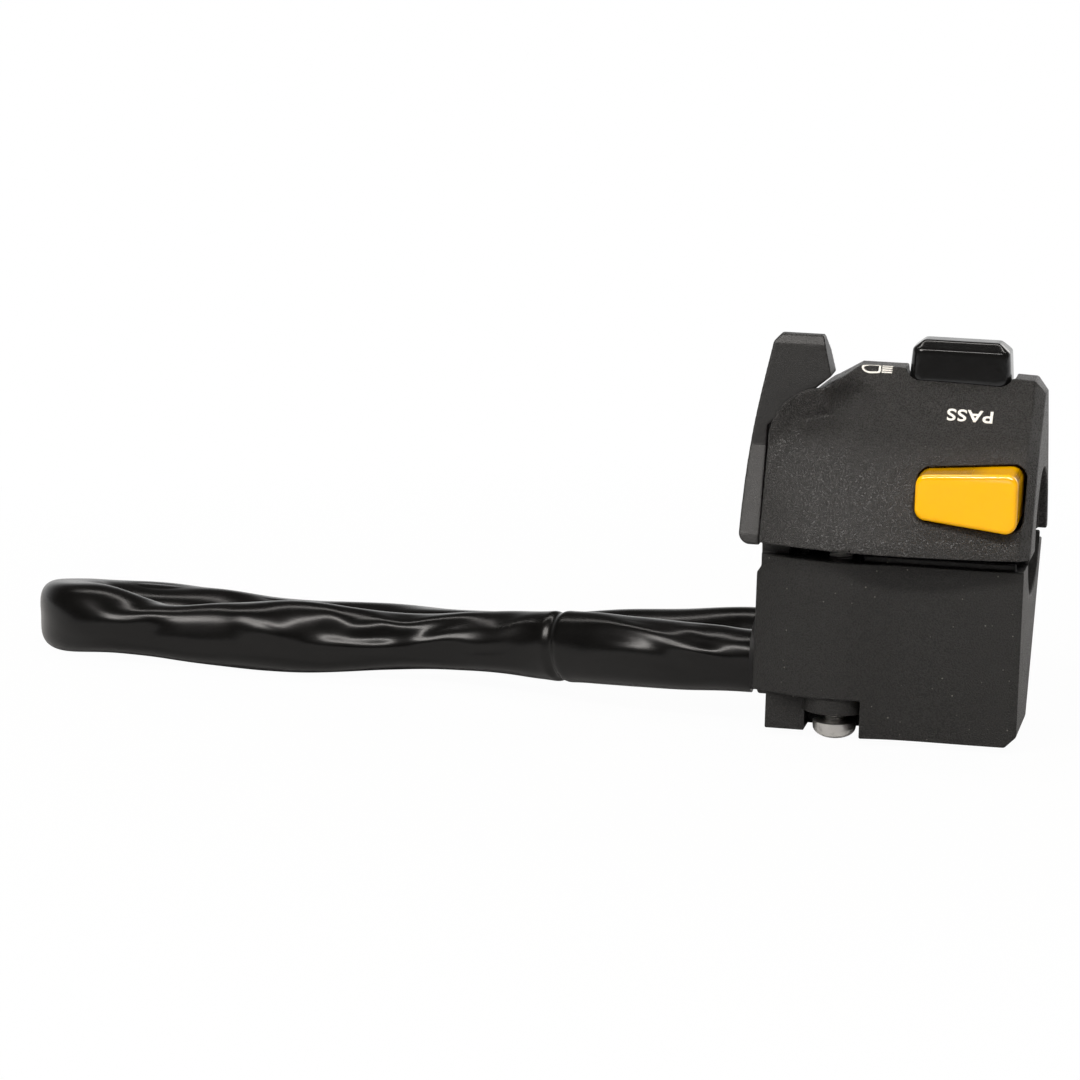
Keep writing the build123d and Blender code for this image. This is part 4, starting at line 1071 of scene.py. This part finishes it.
class CLUSTER_OT_harness_ends(bpy.types.Operator):
    """Grommet, wires, connector and terminals"""

    bl_idname = "cluster.harness_ends"
    bl_label = "Grommet, Wires and Connector"

    def execute(self, context):
        rubber = moulded_finish(
            "grommet rubber", (0.010, 0.010, 0.010, 1.0), grain_scale=3600.0, grain_and_sparkle_share=0.12,
            grain_depth=0.00001, roughness=0.5, speck_share=0.02,
        )
        paint_node("harness_grommet", rubber)
        covers = [
            moulded_finish(
                "wire covering " + name, base, grain_scale=2600.0, grain_and_sparkle_share=0.12,
                grain_depth=0.00001, roughness=0.32, speck_share=0.0,
            )
            for name, base in (
                ("black", (0.012, 0.012, 0.012, 1.0)), ("brown", (0.05, 0.022, 0.012, 1.0)),
                ("grey", (0.16, 0.16, 0.155, 1.0)),
            )
        ]
        low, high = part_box("harness_wire_bundle")
        points, faces = wire_mesh(low, high, radius=(high.y - low.y) / 6.0)
        wires = new_piece(
            "harness_wires", points, faces, covers, "housing", smooth=50.0
        )
        per_wire = len(faces) // len(WIRE_COVERS)
        for face in wires.data.polygons:
            face.material_index = WIRE_COVERS[face.index // per_wire]
        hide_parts("harness_wire_bundle")
        shell = moulded_finish(
            "connector moulding", (0.014, 0.014, 0.014, 1.0), grain_scale=3600.0, grain_and_sparkle_share=0.12,
            grain_depth=0.00001, roughness=0.38, speck_share=0.02,
        )
        connector = rounded_node(
            "harness_connector", "harness_connector_moulding", shell,
            cell=0.00024, passes=2,
        )
        brass = metal_finish("terminal brass", (0.72, 0.60, 0.36, 1.0), roughness=0.28, grain=0.00001)
        terminals = dressed_node(
            "connector_terminals", "connector_terminals_plated", brass, edge=0.0
        )
        declare_cord()
        return {"FINISHED"}


class CLUSTER_OT_inner_pieces(bpy.types.Operator):
    """Finishes of the pins, springs and contact blocks inside the housing"""

    bl_idname = "cluster.inner_pieces"
    bl_label = "Inner Pieces"

    def execute(self, context):
        steel = metal_finish("pin steel", (0.55, 0.54, 0.52, 1.0), roughness=0.3, grain=0.00001)
        for node in (
            "pass_trigger_pin", "dimmer_pivot_pin", "dimmer_detent_ball", "pass_return_blade",
            "horn_return_spring",
        ):
            paint_node(node, steel)
        block = moulded_finish(
            "contact moulding", (0.06, 0.042, 0.03, 1.0), grain_scale=3000.0, grain_and_sparkle_share=0.2,
            grain_depth=0.00002, roughness=0.5, speck_share=0.04,
        )
        for control in ("pass", "dimmer", "turn", "horn"):
            paint_node(control + "_contact_block", block)
        return {"FINISHED"}


def text_mesh(text, width, height):
    """Flat mesh of a word in the plain built-in face, slightly bolder, with its corner at the origin."""
    longest_edge = 0.12
    curve = bpy.data.curves.new(text, "FONT")
    curve.body = text
    curve.offset = 0.02
    curve.space_character = 1.06
    curve.resolution_u = 6
    mesh = mesh_of(curve)
    work = welded(mesh, gap=1e-5)
    bmesh.ops.triangulate(work, faces=work.faces)
    for _ in range(2):
        long = [edge for edge in work.edges if edge.calc_length() > longest_edge]
        bmesh.ops.subdivide_edges(work, edges=long, cuts=1)
        bmesh.ops.triangulate(work, faces=work.faces)
    points, faces = taken_apart(work)
    bpy.data.meshes.remove(mesh)
    points = points[:, :2] - points[:, :2].min(axis=0)
    points *= np.array((width, height)) / points.max(axis=0)
    return points, faces


def lamp_symbol():
    """Headlamp symbol in mm: a closed D-shaped outline, round at the left, and five straight beams.

    Outline with inset i: x = 2.2 - (2.2 - i) * cos(t), y = (1.15 - i) * sin(t) at the round end,
    then straight runs to x = 3.77 - i with cut corners.
    """
    bow, half_height, width, stroke = 2.2, 1.15, 3.77, 0.42
    corner, corner_share, bow_steps, side_steps = 0.25, 0.82, 33, 9
    beam_start, beam_end, beam_low, beam_pitch, beam_width = 3.97, 6.04, -1.06, 0.47, 0.30
    beam_count, beam_steps = 5, 7
    turn = np.linspace(-radians(90.0), radians(90.0), bow_steps)
    run = np.linspace(0.0, 1.0, side_steps)[1:]
    points = []
    for inset in (0.0, stroke):
        half, right = half_height - inset, width - inset
        round_end = np.stack([bow - (bow - inset) * np.cos(turn), half * np.sin(turn)], axis=1)
        upper = np.stack([bow + (right - corner - bow) * run, np.full(len(run), half)], axis=1)
        side_y = half * np.linspace(corner_share, -corner_share, side_steps)
        side = np.stack([np.full(side_steps, right), side_y], axis=1)
        lower = upper[::-1] * (1.0, -1.0)
        loop = np.concatenate([round_end, upper, side, lower])
        points += loop.tolist()
    count = len(loop)
    column = np.arange(count)
    following = (column + 1) % count
    faces = np.stack([column, column + count, following + count, following], axis=1).tolist()
    stations = np.linspace(beam_start, beam_end, beam_steps)
    for index in range(beam_count):
        low = beam_low + index * beam_pitch
        first = len(points)
        for station in stations:
            points += [[station, low], [station, low + beam_width]]
        faces += [
            [first + 2 * step, first + 2 * step + 2, first + 2 * step + 3, first + 2 * step + 1]
            for step in range(len(stations) - 1)
        ]
    return np.array(points), faces


def print_on(name, points, faces, origin, across, up, material):
    """Lays a flat mark on the upper housing: each point runs along the mark's own depth onto the surface."""
    stand_off, ink_lift, ink_thickness = 0.004, 0.00003, 0.00004
    across, up = Vector(across).normalized(), Vector(up).normalized()
    inward = -across.cross(up).normalized()
    source = frame["nodes"]["upper_housing"]
    corners = [vertex.co.copy() for vertex in source.data.vertices]
    tree = BVHTree.FromPolygons(corners, [tuple(face.vertices) for face in source.data.polygons])
    placed = []
    for px, py in points:
        start = Vector(origin) + across * px + up * py - inward * stand_off
        spot, normal, _, _ = tree.ray_cast(start, inward)
        if spot is None:
            raise RuntimeError(f"{name} misses the housing")
        if normal.dot(inward) > 0:
            normal = -normal
        placed.append(tuple(spot + normal * ink_lift))
    piece = new_piece(name, placed, faces, (material,), "housing", smooth=0)
    solid = piece.modifiers.new("ink", "SOLIDIFY")
    solid.thickness = ink_thickness
    solid.offset = 0.0


class CLUSTER_OT_markings(bpy.types.Operator):
    """Printed function marks: the headlamp symbol and the word on the pass control"""

    bl_idname = "cluster.markings"
    bl_label = "Printed Marks"

    def execute(self, context):
        ink = print_finish("print ink", colour(colours().ink))
        points, faces = text_mesh("PASS", sizes().word_width, sizes().letter_height)
        print_on(
            "print_pass", points, [face[::-1] for face in faces], origin=(0.01776, -0.00942, 0.02444),
            across=(-1.0, -0.019, 0.019), up=(0.0, -0.70, -0.71), material=ink,
        )
        points, faces = lamp_symbol()
        print_on(
            "print_headlamp", points * MM, faces, origin=(-0.00872, -0.00370, 0.03045),
            across=(1.0, 0.0, 0.0), up=(0.0, 0.826, 0.565), material=ink,
        )
        return {"FINISHED"}


# Lamps: name, place, width, height and power in watts
LAMPS = (
    ("key", (-0.58, -0.88, 0.62), 0.4, 0.3, 4.6),
    ("front strip", (-0.03, -0.52, 0.62), 1.3, 0.09, 6.5),
    ("overhead strip", (-0.07, 0.16, 0.60), 1.2, 0.07, 1.8),
    ("back", (0.35, 0.9, 0.35), 0.6, 0.4, 1.4),
)
LAMP_TARGET = (-0.06, 0.0, -0.01)
LAMP_COLOUR = (1.0, 0.965, 0.93)

# Camera: what it aims at, from how far, and its azimuth, elevation and roll in degrees
CAMERA_TARGET = (-0.0717913, 0.0, -0.0082540)
CAMERA_DISTANCE = 1.0
CAMERA_AZIMUTH, CAMERA_ELEVATION, CAMERA_ROLL = 10.2996, 11.0515, 1.7361


def area_lamp(name, place, width, height, power):
    """Soft oval lamp aimed at the object."""
    data = bpy.data.lights.new(name, "AREA")
    data.shape = "ELLIPSE"
    data.size = width
    data.size_y = height
    data.energy = power
    data.color = LAMP_COLOUR
    lamp = linked(name, data)
    lamp.visible_camera = False
    lamp.location = place
    direction = Vector(LAMP_TARGET) - Vector(place)
    lamp.rotation_euler = direction.to_track_quat("-Z", "Y").to_euler()


def stage_floor():
    """Pale floor, just under the object: it keeps its shadow near the object and is white farther off."""
    half, middle_x, gap, least_white = 1.6, -0.07, 0.00002, 0.97
    finish = Finish("floor", Roughness=0.9)
    tone = finish.noise(30.0)
    finish.set(Base_Color=finish.blend(tone, (0.64, 0.64, 0.64, 1.0), (0.67, 0.67, 0.67, 1.0)))
    away = finish.add("ShaderNodeVectorMath", {"operation": "LENGTH"}, {0: finish.position()})[1]
    camera, mirrored = finish.rays()
    seen_share = least_white + away.between(0.12, 0.30) * (1.0 - least_white)
    white_share = camera * seen_share + mirrored * away.between(0.16, 0.6)
    finish.pale_over("ShaderNodeEmission", white_share, finish.shader.outputs[0], "Material Output")
    corners = [
        (x * half + middle_x, y * half, FLOOR_Z - gap) for x, y in ((-1, -1), (1, -1), (1, 1), (-1, 1))
    ]
    mesh = plain_mesh("floor", corners, [(0, 1, 2, 3)])
    mesh.materials.append(finish.material)
    floor = linked("floor", mesh)


def stage_world():
    """Surroundings: white to the camera, and in reflections low behind the object; dim elsewhere.

    The direction is the world's own coordinates, the first output of its Texture Coordinate node.
    """
    world = bpy.data.worlds.new("studio")
    bpy.context.scene.world = world
    nodes = Nodes(world)
    direction = nodes.add("ShaderNodeSeparateXYZ", {}, {0: nodes.add("ShaderNodeTexCoord")[0]})
    behind = direction[1].between(0.15, 0.85) * (1.0 - direction[2].between(0.12, 0.5))
    camera, mirrored = nodes.rays()
    dim = nodes.add("ShaderNodeBackground", {}, {"Color": (1.0, 0.96, 0.92, 1.0), "Strength": 0.08})[0]
    nodes.pale_over("ShaderNodeBackground", camera + mirrored * behind, dim, "World Output")


def stage_camera(lens):
    """Camera that looks at its target from the photograph's azimuth and elevation, rolled round its axis."""
    data = bpy.data.cameras.new("camera")
    data.lens = lens
    data.sensor_width = 36.0
    data.clip_end = 20.0
    camera = linked("camera", data)
    azimuth, elevation, roll = radians(CAMERA_AZIMUTH), radians(CAMERA_ELEVATION), radians(CAMERA_ROLL)
    back = Vector((sin(azimuth) * cos(elevation), -cos(azimuth) * cos(elevation), sin(elevation)))
    level = Vector((cos(azimuth), sin(azimuth), 0.0))
    upright = back.cross(level)
    right = level * cos(roll) + upright * sin(roll)
    top = upright * cos(roll) - level * sin(roll)
    matrix = Matrix((right, top, back)).transposed().to_4x4()
    matrix.translation = Vector(CAMERA_TARGET) + back * CAMERA_DISTANCE
    camera.matrix_world = matrix
    bpy.context.scene.camera = camera


class CLUSTER_OT_stage(bpy.types.Operator):
    """Floor, lamps, surroundings and camera"""

    bl_idname = "cluster.stage"
    bl_label = "Stage"

    def execute(self, context):
        settings = context.scene.switch_cluster_stage
        stage_floor()
        stage_world()
        for name, place, width, height, power in LAMPS:
            area_lamp(name, place, width, height, power * settings.light_power)
        bpy.context.scene.view_settings.view_transform = "Standard"
        stage_camera(settings.lens)
        return {"FINISHED"}


OPERATORS = (
    CLUSTER_OT_stage,
    CLUSTER_OT_harness_sleeve,
    CLUSTER_OT_harness_ends,
    CLUSTER_OT_upper_housing,
    CLUSTER_OT_lower_housing,
    CLUSTER_OT_choke_lever,
    CLUSTER_OT_front_controls,
    CLUSTER_OT_rider_controls,
    CLUSTER_OT_case_screws,
    CLUSTER_OT_inner_pieces,
    CLUSTER_OT_markings,
)


class CLUSTER_PT_panel(bpy.types.Panel):
    """Sidebar panel that lists the settings and the operators"""

    bl_idname = "CLUSTER_PT_panel"
    bl_label = "Switch Cluster"
    bl_space_type = "VIEW_3D"
    bl_region_type = "UI"
    bl_category = "Switch Cluster"

    def draw(self, context):
        for group in (
            context.scene.switch_cluster_sizes,
            context.scene.switch_cluster_colours,
            context.scene.switch_cluster_stage,
        ):
            for name in group.__annotations__:
                self.layout.prop(group, name)
        for operator in OPERATORS:
            self.layout.operator(operator.bl_idname)


CLASSES = (ClusterSizes, ClusterColours, ClusterStage, *OPERATORS, CLUSTER_PT_panel)


def register():
    for item in CLASSES:
        bpy.utils.register_class(item)
    bpy.types.Scene.switch_cluster_sizes = bpy.props.PointerProperty(type=ClusterSizes)
    bpy.types.Scene.switch_cluster_colours = bpy.props.PointerProperty(type=ClusterColours)
    bpy.types.Scene.switch_cluster_stage = bpy.props.PointerProperty(type=ClusterStage)


def unregister():
    del bpy.types.Scene.switch_cluster_stage
    del bpy.types.Scene.switch_cluster_colours
    del bpy.types.Scene.switch_cluster_sizes
    for item in reversed(CLASSES):
        bpy.utils.unregister_class(item)


def main():
    register()
    for operator in OPERATORS:
        family, name = operator.bl_idname.split(".")
        getattr(getattr(bpy.ops, family), name)()


if __name__ == "__main__":
    main()
